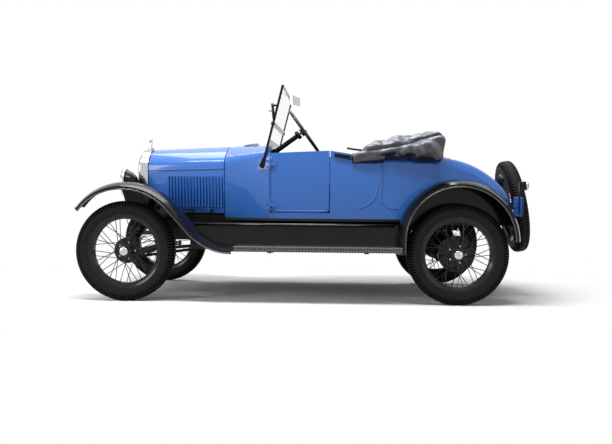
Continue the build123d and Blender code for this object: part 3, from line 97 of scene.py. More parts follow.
tree.links.new(dull.outputs["Result"], shader.inputs["Roughness"])
tree.links.new(ridge.outputs["Normal"], shader.inputs["Normal"])
finish(chassis_black, "chassis_frame", "front_axle", "rear_axle", "leaf_springs", "knuckle_left",
       "knuckle_right", "tie_rod", "drop_arm", "spare_carrier", "hood_shelves", "firewall")

# Engine and exhaust: one grey iron block with its gearbox, and a pipe with a round silencer.
# Sand-cast iron, rough to the touch, oil-stained; the pipe is rust brown from heat.
cast_iron, tree, shader = material("sand_cast_iron", {"Roughness": 0.62, "Metallic": 0.4})
spots = node(tree, "ShaderNodeTexCoord")
sand = node(tree, "ShaderNodeTexNoise", {"Scale": 1 / 0.003, "Detail": 3.0}, {"Vector": spots.outputs["Object"]})
stain = node(tree, "ShaderNodeTexNoise", {"Scale": 1 / 0.09, "Detail": 5.0}, {"Vector": spots.outputs["Object"]})
shade = node(tree, "ShaderNodeMix", {"data_type": "RGBA", 6: lin("#1C1D1E"), 7: lin("#45443F")},
             {0: stain.outputs["Fac"]})
pits = node(tree, "ShaderNodeBump", {"Strength": 0.5, "Distance": 0.001}, {"Height": sand.outputs["Fac"]})
tree.links.new(shade.outputs[2], shader.inputs["Base Color"])
tree.links.new(pits.outputs["Normal"], shader.inputs["Normal"])
finish(cast_iron, "engine")
pipe_rust, tree, shader = material("heat_scaled_pipe", {"Roughness": 0.78})
spots = node(tree, "ShaderNodeTexCoord")
scale = node(tree, "ShaderNodeTexNoise", {"Scale": 1 / 0.02, "Detail": 7.0}, {"Vector": spots.outputs["Object"]})
shade = node(tree, "ShaderNodeMix", {"data_type": "RGBA", 6: lin("#241A15"), 7: lin("#50392B")},
             {0: scale.outputs["Fac"]})
flake = node(tree, "ShaderNodeBump", {"Strength": 0.4, "Distance": 0.001}, {"Height": scale.outputs["Fac"]})
tree.links.new(shade.outputs[2], shader.inputs["Base Color"])
tree.links.new(flake.outputs["Normal"], shader.inputs["Normal"])
finish(pipe_rust, "exhaust")

# Wire wheels: steel rims and hubs with laced spokes, dipped in black stove enamel.
# The enamel is glassy and slightly thick at the spokes' ends; the CAD wheels stay as they are.
wheel_enamel, tree, shader = material("black_stove_enamel", {
    "Base Color": lin("#0B0B0D"), "Specular IOR Level": 0.2, "Coat Weight": 0.2, "Coat Roughness": 0.08,
})
spots = node(tree, "ShaderNodeTexCoord")
film = node(tree, "ShaderNodeTexNoise", {"Scale": 1 / 0.03, "Detail": 3.0}, {"Vector": spots.outputs["Object"]})
shine = node(tree, "ShaderNodeMapRange", {"To Min": 0.16, "To Max": 0.34}, {"Value": film.outputs["Fac"]})
tree.links.new(shine.outputs["Result"], shader.inputs["Roughness"])
corners = {
    "front_left": ("wheel_front_left", -1.411, -0.711),
    "front_right": ("wheel_front_right", -1.411, 0.711),
    "rear_left": ("wheel_rear_left", 1.129, -0.711),
    "rear_right": ("wheel_rear_right", 1.129, 0.711),
}
finish(wheel_enamel, "spare_wheel", *(body for body, x, y in corners.values()))

# Tyres: narrow high-pressure tyres moulded in black rubber, with a smooth flank, two thin ribs,
# bars across the shoulder and a zigzag groove round the middle. They replace the plain CAD rings.
tyre_radius = 0.385
bar_count = 104
bar_steps = 6
groove_depth, groove_cut, zigzag = 0.006, 0.009, 0.004
tyre_flank = [  # radius, half width, how much of the bar's groove it takes, all in metres
    (0.2674, 0.0440, 0), (0.2780, 0.0490, 0), (0.2850, 0.0528, 0), (0.2878, 0.0520, 0),
    (0.2905, 0.0532, 0), (0.3000, 0.0552, 0), (0.3170, 0.0567, 0), (0.3290, 0.0570, 0),
    (0.3340, 0.0570, 0), (0.3362, 0.0556, 0), (0.3420, 0.0552, 0), (0.3450, 0.0550, 0.7),
    (0.3560, 0.0530, 1), (0.3660, 0.0488, 1), (0.3750, 0.0425, 1), (0.3800, 0.0360, 1),
    (0.3830, 0.0290, 0.8), (0.3843, 0.0220, 0),
]
tyre_crown = [
    (0.3848, 0.0190, 0), (0.3800, 0.0165, 0), (0.3800, 0.0125, 0), (0.3850, 0.0100, 0), (0.3850, 0.0, 0),
]


def skin(name, points, around, wrap_around=True, ends=False):
    """Mesh of a grid of points, given row by row, as smooth quads, with flat ends where asked."""
    rows = len(points) // around
    faces = []
    for r in range(rows - 1):
        for c in range(around if wrap_around else around - 1):
            d = (c + 1) % around
            faces.append((r * around + c, r * around + d, (r + 1) * around + d, (r + 1) * around + c))
    smooth = [True] * len(faces)
    if ends:
        faces += [tuple(range(around))[::-1], tuple(range((rows - 1) * around, rows * around))]
        smooth += [False, False]
    made = bpy.data.meshes.new(name)
    made.from_pydata(points, [], faces)
    made.polygons.foreach_set("use_smooth", smooth)
    return made


def put(name, mesh, coat, body, place=None):
    """Place a mesh as a piece with its material, riding on a body."""
    made = bpy.data.objects.new(name, mesh)
    bpy.context.scene.collection.objects.link(made)
    if place is not None:
        made.matrix_world = place
    if not mesh.materials:
        mesh.materials.append(coat)
    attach(made, body)
    return made


rubber, tree, shader = material("moulded_tyre_rubber", {"Roughness": 0.58, "Specular IOR Level": 0.15})
spots = node(tree, "ShaderNodeTexCoord")
bloom = node(tree, "ShaderNodeTexNoise", {"Scale": 1 / 0.06, "Detail": 6.0}, {"Vector": spots.outputs["Object"]})
shade = node(tree, "ShaderNodeMix", {"data_type": "RGBA", 6: lin("#0B0B0C"), 7: lin("#1B1B1C")},
             {0: bloom.outputs["Fac"]})
grit = node(tree, "ShaderNodeTexNoise", {"Scale": 1 / 0.0025}, {"Vector": spots.outputs["Object"]})
grain = node(tree, "ShaderNodeBump", {"Strength": 0.12, "Distance": 0.0006}, {"Height": grit.outputs["Fac"]})
tree.links.new(shade.outputs[2], shader.inputs["Base Color"])
tree.links.new(grain.outputs["Normal"], shader.inputs["Normal"])
# The grooves between the bars are drawn in a near-black, duller rubber: painted shade in the grooves.
groove_rubber, tree, shader = material("groove_rubber_painted_shade", {
    "Base Color": lin("#030303"), "Specular IOR Level": 0.05,
})
spots = node(tree, "ShaderNodeTexCoord")
grit = node(tree, "ShaderNodeTexNoise", {"Scale": 1 / 0.004}, {"Vector": spots.outputs["Object"]})
dull = node(tree, "ShaderNodeMapRange", {"To Min": 0.7, "To Max": 0.9}, {"Value": grit.outputs["Fac"]})
tree.links.new(dull.outputs["Result"], shader.inputs["Roughness"])
half = tyre_flank + tyre_crown
profile = half + [(r, -w, g) for r, w, g in reversed(half[:-1])]
steps = bar_count * bar_steps
points = []
for r, w, groove in profile:
    for s in range(steps):
        angle = 2 * math.pi * s / steps
        sunk = groove if s % bar_steps in (3, 4) else 0.0
        weave = zigzag * math.sin(angle * bar_count / 2) if 0 < abs(w) < 0.018 else 0.0
        low = r - groove_depth * sunk
        deep = w - math.copysign(groove_cut * sunk, w) + weave
        points.append((low * math.cos(angle), deep, low * math.sin(angle)))
tyre_mesh = skin("tyre", points, steps)
tyre_mesh.materials.append(rubber)
tyre_mesh.materials.append(groove_rubber)
# Groove faces take the second, darker material: the painted shade.
grooved = [g for r, w, g in profile]
tyre_mesh.polygons.foreach_set("material_index", [
    int(s % bar_steps in (2, 3, 4) and max(grooved[r], grooved[r + 1]) > 0)
    for r in range(len(profile) - 1) for s in range(steps)
])
for corner, (body, x, y) in corners.items():
    turn = Matrix.Rotation(0 if y < 0 else math.pi, 4, "Z")
    tyre = put("tyre_moulded_" + corner, tyre_mesh, rubber, body, Matrix.Translation((x, y, tyre_radius)) @ turn)
    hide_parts("tyre_" + corner)
lean = math.radians(10.4)
low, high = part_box("spare_tyre")
spare_middle = Vector(((low[0] + high[0]) / 2, 0, (low[2] + high[2]) / 2))
spare_place = (Matrix.Translation(spare_middle) @ Matrix.Rotation(-lean, 4, "Y")
               @ Matrix.Rotation(math.pi / 2, 4, "Z"))
tyre = put("tyre_moulded_spare", tyre_mesh, rubber, "chassis", spare_place)
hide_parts("spare_tyre")

# Hub caps and wheel nuts: a spun nickel-plated cap pressed on each hub, five nuts round it.
# Plated brass, polished, so it is a bright warm mirror.


def lathe(name, outline, steps):
    """Mesh turned about the Y axis from (radius, y) points."""
    return skin(name, [
        (r * math.cos(2 * math.pi * s / steps), y, r * math.sin(2 * math.pi * s / steps))
        for r, y in outline for s in range(steps)
    ], steps)


nickel, tree, shader = material("polished_nickel_plate", {"Base Color": lin("#BFC3C9"), "Metallic": 1.0})
spots = node(tree, "ShaderNodeTexCoord")
wipe = node(tree, "ShaderNodeTexNoise", {"Scale": 1 / 0.025, "Detail": 4.0}, {"Vector": spots.outputs["Object"]})
haze = node(tree, "ShaderNodeMapRange", {"To Min": 0.07, "To Max": 0.2}, {"Value": wipe.outputs["Fac"]})
tree.links.new(haze.outputs["Result"], shader.inputs["Roughness"])
cap_mesh = lathe("hub_cap", [
    (0.0335, -0.050), (0.0350, -0.052), (0.0350, -0.058), (0.0338, -0.060), (0.0338, -0.0690),
    (0.0320, -0.0745), (0.0270, -0.0785), (0.0260, -0.0780), (0.0245, -0.0792), (0.0150, -0.0815),
    (0.0, -0.0822),
], 40)
nut_total, nut_circle, nut_inset = 5, 0.066, 0.020
hub_nuts = bmesh.new()
for count in range(nut_total):
    angle = 2 * math.pi * count / nut_total
    nut = bmesh.ops.create_cone(hub_nuts, cap_ends=True, segments=6, radius1=0.0095, radius2=0.0085, depth=0.016)
    stand = Matrix.Translation((nut_circle * math.cos(angle), nut_inset, nut_circle * math.sin(angle)))
    bmesh.ops.transform(hub_nuts, verts=nut["verts"], matrix=stand @ Matrix.Rotation(math.pi / 2, 4, "X"))
nut_mesh = bpy.data.meshes.new("hub_nuts")
hub_nuts.to_mesh(nut_mesh)
hub_nuts.free()
for corner, (body, x, y) in corners.items():
    place = Matrix.Translation((x, y, tyre_radius)) @ Matrix.Rotation(0 if y < 0 else math.pi, 4, "Z")
    put("hub_cap_" + corner, cap_mesh, nickel, body, place)
    put("hub_nuts_" + corner, nut_mesh, nickel, body, place)
put("hub_cap_spare", cap_mesh, nickel, "chassis", spare_place)

# Radiator: a drawn shell plated with nickel, a soldered honeycomb core and a filler cap with its gauge.
# The core is brass painted black; the cells' edges are painted lighter, a painted highlight, and their hollows near
# black, a painted shade.
finish(nickel, "radiator_shell", "radiator_cap", "rear_mirror")
core_cells, tree, shader = material("black_core_painted_cell_light", {"Roughness": 0.5})
spots = node(tree, "ShaderNodeTexCoord")
turned = node(tree, "ShaderNodeMapping", {"Scale": (0.0, 1.0, 1.0)}, {"Vector": spots.outputs["Object"]})
cells = node(tree, "ShaderNodeTexVoronoi", {"feature": "DISTANCE_TO_EDGE", "Scale": 1 / 0.011, "Randomness": 0.0},
             {"Vector": turned.outputs["Vector"]})
cell_edge = node(tree, "ShaderNodeMapRange", {"From Max": 0.18, "To Min": 1.0, "To Max": 0.0},
                 {"Value": cells.outputs["Distance"]})
# Painted highlight on the cells' edges and painted shade in their hollows.
shade = node(tree, "ShaderNodeMix", {"data_type": "RGBA", 6: lin("#060607"), 7: lin("#3B352A")},
             {0: cell_edge.outputs["Result"]})
hollow = node(tree, "ShaderNodeBump", {"Strength": 1.0, "Distance": 0.004}, {"Height": cell_edge.outputs["Result"]})
tree.links.new(shade.outputs[2], shader.inputs["Base Color"])
tree.links.new(hollow.outputs["Normal"], shader.inputs["Normal"])
finish(core_cells, "radiator_core")

# Body panels: pressed steel hood, cowl, doors, quarter panels and deck in blue brushed enamel.
# Several rubbed coats and varnish: an even medium blue with a clear, soft-edged reflection.
blue_enamel, tree, shader = material("blue_coach_enamel", {
    "Roughness": 0.32, "Specular IOR Level": 0.2, "Coat Weight": 0.6, "Coat Roughness": 0.05,
})
spots = node(tree, "ShaderNodeTexCoord")
flow = node(tree, "ShaderNodeTexNoise", {"Scale": 1 / 0.35, "Detail": 3.0}, {"Vector": spots.outputs["Object"]})
shade = node(tree, "ShaderNodeMix", {"data_type": "RGBA", 6: lin("#2E69BD"), 7: lin("#3671C5")},
             {0: flow.outputs["Fac"]})
peel = node(tree, "ShaderNodeTexNoise", {"Scale": 1 / 0.006, "Detail": 1.0}, {"Vector": spots.outputs["Object"]})
skin_bump = node(tree, "ShaderNodeBump", {"Strength": 0.03, "Distance": 0.0005}, {"Height": peel.outputs["Fac"]})
tree.links.new(shade.outputs[2], shader.inputs["Base Color"])
tree.links.new(skin_bump.outputs["Normal"], shader.inputs["Normal"])
finish(blue_enamel, "hood_top_left", "hood_top_right", "hood_side_left", "hood_side_right", "hood_rod", "cowl",
       "door_left", "door_right", "door_hinges", "rear_body", "rear_deck", "deck_lid")

# Fenders, aprons, lamps and windshield frame: pressed steel in glossy black baked enamel.
# Deep black with a sharp reflection; a trace of dust low down makes it a little greyer.
black_enamel, tree, shader = material("black_baked_enamel", {
    "Specular IOR Level": 0.1, "Coat Weight": 0.2, "Coat Roughness": 0.04,
})
spots = node(tree, "ShaderNodeTexCoord")
height = node(tree, "ShaderNodeSeparateXYZ", {}, {"Vector": spots.outputs["Object"]})
road = node(tree, "ShaderNodeTexNoise", {"Scale": 1 / 0.12, "Detail": 6.0}, {"Vector": spots.outputs["Object"]})
lowness = node(tree, "ShaderNodeMapRange", {"From Min": 0.75, "From Max": 0.35, "To Min": 0.0, "To Max": 0.6},
               {"Value": height.outputs["Z"]})
dirt = node(tree, "ShaderNodeMath", {"operation": "MULTIPLY"},
            {0: road.outputs["Fac"], 1: lowness.outputs["Result"]})
shade = node(tree, "ShaderNodeMix", {"data_type": "RGBA", 6: lin("#060708"), 7: lin("#24221F")},
             {0: dirt.outputs["Value"]})
dull = node(tree, "ShaderNodeMapRange", {"To Min": 0.2, "To Max": 0.5}, {"Value": dirt.outputs["Value"]})
tree.links.new(shade.outputs[2], shader.inputs["Base Color"])
tree.links.new(dull.outputs["Result"], shader.inputs["Roughness"])
finish(black_enamel, "front_fenders", "rear_fenders", "splash_aprons", "headlamps", "windshield_frame",
       "top_irons", "tail_lamp", "steering_column", "dash_panel", "running_boards")

# Floor: tongued boards painted grey-brown, and pedals of satin steel.
# The paint is worn through along the grain where shoes rest.
floor_paint, tree, shader = material("painted_floor_boards", {"Roughness": 0.66})
spots = node(tree, "ShaderNodeTexCoord")
long_way = node(tree, "ShaderNodeMapping", {"Scale": (1.0, 12.0, 1.0)}, {"Vector": spots.outputs["Object"]})
fibre = node(tree, "ShaderNodeTexNoise", {"Scale": 1 / 0.05, "Detail": 8.0}, {"Vector": long_way.outputs["Vector"]})
shade = node(tree, "ShaderNodeMix", {"data_type": "RGBA", 6: lin("#120F0D"), 7: lin("#2B241D")},
             {0: fibre.outputs["Fac"]})
rough = node(tree, "ShaderNodeBump", {"Strength": 0.3, "Distance": 0.001}, {"Height": fibre.outputs["Fac"]})
tree.links.new(shade.outputs[2], shader.inputs["Base Color"])
tree.links.new(rough.outputs["Normal"], shader.inputs["Normal"])
finish(floor_paint, "floor_boards")
satin_steel, tree, shader = material("satin_steel", {"Base Color": lin("#6B6B69"), "Metallic": 1.0})
spots = node(tree, "ShaderNodeTexCoord")
rub = node(tree, "ShaderNodeTexNoise", {"Scale": 1 / 0.008, "Detail": 4.0}, {"Vector": spots.outputs["Object"]})
dull = node(tree, "ShaderNodeMapRange", {"To Min": 0.28, "To Max": 0.48}, {"Value": rub.outputs["Fac"]})
tree.links.new(dull.outputs["Result"], shader.inputs["Roughness"])
finish(satin_steel, "floor_controls")

# Steering wheel: a hard rubber rim moulded on an iron spider, which is keyed to the top of the column.
# Black all over; hands have polished it in patches.
rim_rubber, tree, shader = material("polished_hard_rubber", {"Base Color": lin("#151314")})
spots = node(tree, "ShaderNodeTexCoord")
polish = node(tree, "ShaderNodeTexNoise", {"Scale": 1 / 0.04, "Detail": 4.0}, {"Vector": spots.outputs["Object"]})
dull = node(tree, "ShaderNodeMapRange", {"To Min": 0.2, "To Max": 0.42}, {"Value": polish.outputs["Fac"]})
tree.links.new(dull.outputs["Result"], shader.inputs["Roughness"])
finish(rim_rubber, "steering_wheel")

# Glass: two flat panes in the windshield and a moulded lens on each headlamp.
# Thin, clear and faintly green at the edges; so thin that it bends and mirrors little.
pane_glass, tree, shader = material("clear_plate_glass", {
    "Base Color": lin("#F2F8F6"), "Roughness": 0.0, "IOR": 1.2, "Transmission Weight": 1.0,
})
finish(pane_glass, "windshield_glass", "headlamp_lenses")

# Fender and apron beads: the free edge of each fender is rolled round a wire, the apron's top round a rod.
# Steel painted with the panel; the round edge holds a thin bright line of sky.
bead_radius = 0.006
# Black enamel on a rolled edge: cloths rub the roll to a mirror, so it shows as a bright thread.
rolled_edge, tree, shader = material("black_enamel_on_rolled_edge", {
    "Base Color": lin("#0A0B0E"), "Specular IOR Level": 0.6, "Coat Weight": 0.8, "Coat Roughness": 0.06,
})
spots = node(tree, "ShaderNodeTexCoord")
film = node(tree, "ShaderNodeTexNoise", {"Scale": 1 / 0.05, "Detail": 3.0}, {"Vector": spots.outputs["Object"]})
shine = node(tree, "ShaderNodeMapRange", {"To Min": 0.1, "To Max": 0.24}, {"Value": film.outputs["Fac"]})
tree.links.new(shine.outputs["Result"], shader.inputs["Roughness"])
lip_y = 0.8325
nose_tilt = 54
nose_out = Vector((-math.sin(math.radians(nose_tilt)), 0, math.cos(math.radians(nose_tilt))))
nose_edge = [  # distance from the car's middle, rise over the end of the lip
    (0.570, 0.038), (0.620, 0.046), (0.680, 0.050), (0.740, 0.047), (0.800, 0.034), (0.826, 0.018),
]
apron_y, apron_top = 0.566, 0.592


def arc(x, z, radius, first, last, count):
    """Points of an arc in the side view, by degrees from straight up."""
    return [(x + radius * math.sin(a), z + radius * math.cos(a))
            for a in np.radians(np.linspace(first, last, count))]


front_lip = arc(-1.421, 0.454, 0.408, -nose_tilt, -3, 18) + arc(-1.421, 0.392, 0.470, 0, 48, 17)
front_lip += arc(-0.5796, 0.831, 0.449, 228, 180, 17)
rear_lip = [(0.729, 0.386)] + arc(1.137, 0.489, 0.408, -90, 90, 60)


def rod(name, stops, radius, sides=10):
    """Mesh of a round bar along a line of points, with flat ends."""
    line = [Vector(p) for p in stops]
    across = (line[1] - line[0]).orthogonal()
    points = []
    for i, p in enumerate(line):
        ahead = (line[min(i + 1, len(line) - 1)] - line[max(i - 1, 0)]).normalized()
        across = (across - ahead * across.dot(ahead)).normalized()
        side = ahead.cross(across)
        points += [p + radius * (math.cos(a) * across + math.sin(a) * side)
                   for a in (2 * math.pi * s / sides for s in range(sides))]
    return skin(name, points, sides, ends=True)


for hand, s in (("left", -1), ("right", 1)):
    for end, lip in (("front", front_lip), ("rear", rear_lip)):
        line = [Vector((x, s * lip_y, z)) for x, z in lip]
        if end == "front":
            tip = line[0]
            line = [Vector((tip.x, s * y, tip.z)) + nose_out * rise for y, rise in nose_edge] + line
        bead = rod("fender_bead", line, bead_radius)
        put(f"{end}_fender_bead_{hand}", bead, rolled_edge, "chassis")
    bead = rod("apron_bead", [(x, s * apron_y, apron_top) for x in (-0.925, 0.0, 0.668)], 0.011)
    put(f"apron_bead_{hand}", bead, rolled_edge, "chassis")

# Running-board dressing: a ribbed rubber mat on the board, and a notched aluminium strip screwed to its edge.
# The strip is dull grey metal with a row of dark notches; the mat is matt black.
mat_rubber, tree, shader = material("ribbed_mat_rubber", {"Roughness": 0.72, "Specular IOR Level": 0.2})
spots = node(tree, "ShaderNodeTexCoord")
scuff = node(tree, "ShaderNodeTexNoise", {"Scale": 1 / 0.07, "Detail": 7.0}, {"Vector": spots.outputs["Object"]})
shade = node(tree, "ShaderNodeMix", {"data_type": "RGBA", 6: lin("#0D0D0E"), 7: lin("#2B2A28")},
             {0: scuff.outputs["Fac"]})
tree.links.new(shade.outputs[2], shader.inputs["Base Color"])
edge_alloy, tree, shader = material("cast_aluminium_strip", {"Metallic": 1.0, "Roughness": 0.42})
spots = node(tree, "ShaderNodeTexCoord")
oxide = node(tree, "ShaderNodeTexNoise", {"Scale": 1 / 0.012, "Detail": 5.0}, {"Vector": spots.outputs["Object"]})
shade = node(tree, "ShaderNodeMix", {"data_type": "RGBA", 6: lin("#424448"), 7: lin("#6C6E72")},
             {0: oxide.outputs["Fac"]})
tree.links.new(shade.outputs[2], shader.inputs["Base Color"])
board_front, board_back, board_top = -0.560, 0.700, 0.4350
rib_total, rib_pitch, rib_height = 15, 0.0125, 0.0025
ribs = []
for count in range(rib_total):
    y = 0.620 + count * rib_pitch
    ribs += [(y, board_top), (y + 0.002, board_top + rib_height), (y + 0.0075, board_top + rib_height),
             (y + 0.0095, board_top)]
strip_length, strip_y = 1.27, 0.8375
notch_pitch, notch_depth = 0.022, 0.0035
notch_step = notch_pitch / 4
for hand, s in (("left", -1), ("right", 1)):
    order = ribs if s > 0 else ribs[::-1]
    rows = [(x, s * y, z) for x in (board_front, board_back) for y, z in order]
    mat = skin("board_mat", rows, len(ribs), wrap_around=False)
    put(f"board_mat_{hand}", mat, mat_rubber, "chassis")
    rows = []
    for count in range(int(strip_length / notch_step) + 1):
        notch_y = strip_y - (notch_depth if count % 4 >= 2 else 0.0)
        section = [(0.806, 0.4350), (0.807, 0.4380), (0.8330, 0.4380), (strip_y, 0.4345), (strip_y, 0.4290),
                   (notch_y, 0.4275), (notch_y, 0.4115), (strip_y, 0.4100), (strip_y, 0.4030), (0.8355, 0.4015)]
        for y, z in (section if s > 0 else section[::-1]):
            rows.append((board_front + count * notch_step, s * y, z))
    strip = skin("board_strip", rows, len(section), wrap_around=False)
    put(f"board_strip_{hand}", strip, edge_alloy, "chassis")

# Hood hardware: the top's flange lapped over the side down to a long hinge bead, a black sheet behind the louvres
# that is a painted shade for the dark inside of the hood, and two spring latches below. The flange and bead are
# blue, the latches black rods with balls.


def surface(*names):
    """Search tree over the surface of CAD nodes."""
    points, faces = [], []
    for name in names:
        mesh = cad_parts[name].data
        faces += [[v + len(points) for v in p.vertices] for p in mesh.polygons]
        points += [v.co.copy() for v in mesh.vertices]
    return BVHTree.FromPolygons(points, faces)


def side_hit(shape, s, x, z):
    """Point where a level line from the car's left (-1) or right (1) meets a surface, or None."""
    return shape.ray_cast(Vector((x, s * 1.0, z)), Vector((0, -s, 0)))[0]


hood_front, hood_back, stations = -1.341, -0.704, 24
split_front, split_rise = 1.0762, 0.0183
flange_fall = [  # height over the split, how far it stands off the panel
    (-0.062, 0.0016), (-0.040, 0.0016), (-0.020, 0.0016), (-0.008, 0.0016), (0.008, 0.0012), (0.018, 0.0002),
]
latch_z, latch_off = 0.694, 0.012
ball_radius = 0.011
ball_line = [(0.0, ball_radius)] + arc(0.0, 0.0, ball_radius, 15, 165, 11) + [(0.0, -ball_radius)]
ball = lathe("latch_ball", ball_line, 16)
for hand, s in (("left", -1), ("right", 1)):
    body = "hood_" + hand
    shell = surface("hood_side_" + hand, "hood_top_" + hand)
    flange, hinge = [], []
    for x in np.linspace(hood_front, hood_back, stations):
        split_z = split_front + split_rise * (x - hood_front) / (hood_back - hood_front)
        fall = [side_hit(shell, s, x, split_z + rise) + Vector((0, s * proud, 0)) for rise, proud in flange_fall]
        hinge.append(fall[0])
        flange += fall if s < 0 else fall[::-1]
    lap = skin("hood_flange", flange, len(flange_fall), wrap_around=False)
    put(f"hood_top_flange_{hand}", lap, blue_enamel, body)
    put(f"hood_hinge_bead_{hand}", rod("hood_hinge", hinge, 0.0045), blue_enamel, body)
    # A black sheet inside each hood side: painted shade behind the louvres.
    rows = []
    for x in np.linspace(-1.20, -0.72, 12):
        shade_sheet_y = side_hit(shell, s, x, latch_z).y - s * 0.022
        rows += [(x, shade_sheet_y, z) for z in (0.715, 0.80, 0.90, 1.0)]
    shade_sheet = skin("louvre_shade_sheet", rows, 4, wrap_around=False)
    put(f"louvre_shade_sheet_{hand}", shade_sheet, chassis_black, body)
    shell = surface("hood_side_" + hand)
    for count, x in enumerate((-0.962, -0.808)):
        y = side_hit(shell, s, x, latch_z).y + s * latch_off
        bend = [(x, y - s * 0.014, 0.700), (x, y, latch_z), (x, y, 0.680), (x, y - s * 0.004, 0.666)]
        stem = rod("latch_stem", bend, 0.0042)
        put(f"hood_latch_{hand}_{count}", stem, black_enamel, body)
        place = Matrix.Translation((x, y + s * 0.004, 0.695))
        put(f"hood_latch_ball_{hand}_{count}", ball, black_enamel, body, place)
    bend = [side_hit(shell, s, x, latch_z) + Vector((0, s * latch_off, 0)) for x in (-0.962, -1.0, -1.045)]
    arm = rod("latch_arm", bend, 0.0038)
    put(f"hood_latch_arm_{hand}", arm, black_enamel, body)

# Cowl ventilator: a pressed lid over the opening on top of the cowl, standing open a finger's width.
# Sheet steel, hinged at its front edge, drawn black: a painted shade for the dark gap round the lid.
roof = surface("cowl")
vent_front, vent_back, vent_half = -0.575, -0.465, 0.115
vent_lift, vent_open = 0.003, 0.012
rows = []
for x in np.linspace(vent_front, vent_back, 9):
    for y in np.linspace(-vent_half, vent_half, 21):
        top = roof.ray_cast(Vector((x, y, 2.0)), Vector((0, 0, -1)))[0].z
        rows.append((x, y, top + vent_lift + vent_open * (x - vent_front) / (vent_back - vent_front)))
# Black enamel here is a painted shade for the gap round the lid.
lid = put("cowl_vent_lid", skin("cowl_vent_lid", rows, 21, wrap_around=False), black_enamel, "chassis")
lid.modifiers.new("sheet", "SOLIDIFY").thickness = 0.003

# Door and quarter mouldings: the door's edge is folded over in a round bead, and the quarter panel has
# two swaged creases. All pressed in the steel and painted blue.


def moulding(name, nodes, line, s, radius, body):
    """Bead that follows the outer side of CAD nodes along (x, z) points."""
    panel = surface(*nodes)
    points = [side_hit(panel, s, x, z) for x, z in line]
    points = [p for p in points if p is not None]
    piece = put(name, rod("moulding", points, radius), blue_enamel, body)


door_front, door_back, door_top, door_foot, corner = -0.303, 0.146, 1.165, 0.699, 0.040
door_line = [(door_front, z) for z in np.linspace(door_top, 0.745, 12)]
door_line += arc(door_front + corner, door_foot + corner, corner, -90, -180, 9)
door_line += [(x, door_foot) for x in np.linspace(-0.25, 0.095, 10)]
door_line += arc(door_back - corner, door_foot + corner, corner, 180, 90, 9)
door_line += [(door_back, z) for z in np.linspace(0.745, door_top, 12)]
swage = [
    (0.555, 1.062), (0.549, 1.02), (0.542, 0.97), (0.534, 0.92), (0.526, 0.87), (0.516, 0.83), (0.502, 0.798),
    (0.482, 0.772), (0.456, 0.752), (0.426, 0.737), (0.392, 0.727),
]
foot = [(0.565, 0.79), (0.575, 0.765), (0.590, 0.744), (0.612, 0.728), (0.640, 0.720), (0.680, 0.717)]
for hand, s in (("left", -1), ("right", 1)):
    moulding("door_bead_" + hand, ["door_" + hand], door_line, s, 0.0042, "door_" + hand)
    moulding("quarter_swage_" + hand, ["rear_body"], swage, s, 0.0045, "chassis")
    moulding("quarter_foot_swage_" + hand, ["rear_deck"], foot, s, 0.0040, "chassis")

# Deck-lid handle: a nickel-plated T handle on a round rose near the lid's lower edge.
# It is turned to free the catch; the stem goes through the lid.
handle_height, handle_half = 0.030, 0.045
foot_point, up_lid = surface("deck_lid").ray_cast(Vector((1.425, 0.0, 2.0)), Vector((0, 0, -1)))[:2]
grip_point = foot_point + up_lid * handle_height
bar = [grip_point + Vector((0, y, 0)) for y in np.linspace(-handle_half, handle_half, 9)]
put("deck_lid_handle", rod("lid_handle", bar, 0.0065), nickel, "deck_lid")
bar = [foot_point + up_lid * rise for rise in (-0.002, 0.015, handle_height)]
put("deck_lid_handle_stem", rod("lid_handle_stem", bar, 0.0075), nickel, "deck_lid")

# Headlamps: a plated rim, a silvered reflector and a fluted lens on each black bucket.
# The rim is nickel, the lens pressed glass with upright flutes that break the light into bars.
lamp_turn = Matrix.Rotation(-math.pi / 2, 4, "Z")
lamp_x, lamp_y, lamp_z = -1.506, 0.392, 0.912
rim_mesh = lathe("lamp_rim", [
    (0.1086, 0.016), (0.1115, 0.014), (0.1130, 0.004), (0.1120, -0.006), (0.1075, -0.0115),
    (0.1020, -0.0130), (0.0985, -0.0105), (0.0980, -0.002),
], 64)
silver, tree, shader = material("silvered_reflector", {"Base Color": lin("#9A9DA2"), "Metallic": 1.0})
spots = node(tree, "ShaderNodeTexCoord")
cloud = node(tree, "ShaderNodeTexNoise", {"Scale": 1 / 0.03, "Detail": 3.0}, {"Vector": spots.outputs["Object"]})
haze = node(tree, "ShaderNodeMapRange", {"To Min": 0.12, "To Max": 0.3}, {"Value": cloud.outputs["Fac"]})
tree.links.new(haze.outputs["Result"], shader.inputs["Roughness"])
# Pressed lens glass: thick enough to bend the light, so the flutes show as upright bars.
lens_glass, tree, shader = material("pressed_lens_glass", {
    "Base Color": lin("#EEF4F2"), "Roughness": 0.02, "IOR": 1.5, "Transmission Weight": 1.0,
})
dish = lathe("lamp_reflector", [(0.0985, -0.0008), (0.06, -0.0008), (0.02, -0.0008), (0.0, -0.0008)], 48)
lens_radius, lens_bulge, lens_steps = 0.0974, 0.0170, 96
flute_pitch, flute_depth = 0.014, 0.0012
flutes = []
for row, r in enumerate([lens_radius, lens_radius] + list(np.linspace(0.094, 0.0, 24))):
    for count in range(lens_steps):
        angle = 2 * math.pi * count / lens_steps
        front = -0.0018 if row == 0 else -0.0045 - lens_bulge * (1 - (r / lens_radius) ** 2)
        wave = flute_depth * math.cos(2 * math.pi * r * math.cos(angle) / flute_pitch) if row > 1 else 0.0
        flutes.append((r * math.cos(angle), front + wave, r * math.sin(angle)))
lens_mesh = skin("lamp_lens", flutes, lens_steps, ends=True)
for hand, s in (("left", -1), ("right", 1)):
    place = Matrix.Translation((lamp_x, s * lamp_y, lamp_z)) @ lamp_turn
    put("lamp_rim_" + hand, rim_mesh, nickel, "chassis", place)
    put("lamp_reflector_" + hand, dish, silver, "chassis", place)
    lens_piece = put("lamp_lens_" + hand, lens_mesh, lens_glass, "chassis", place)
    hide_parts("headlamp_lenses")

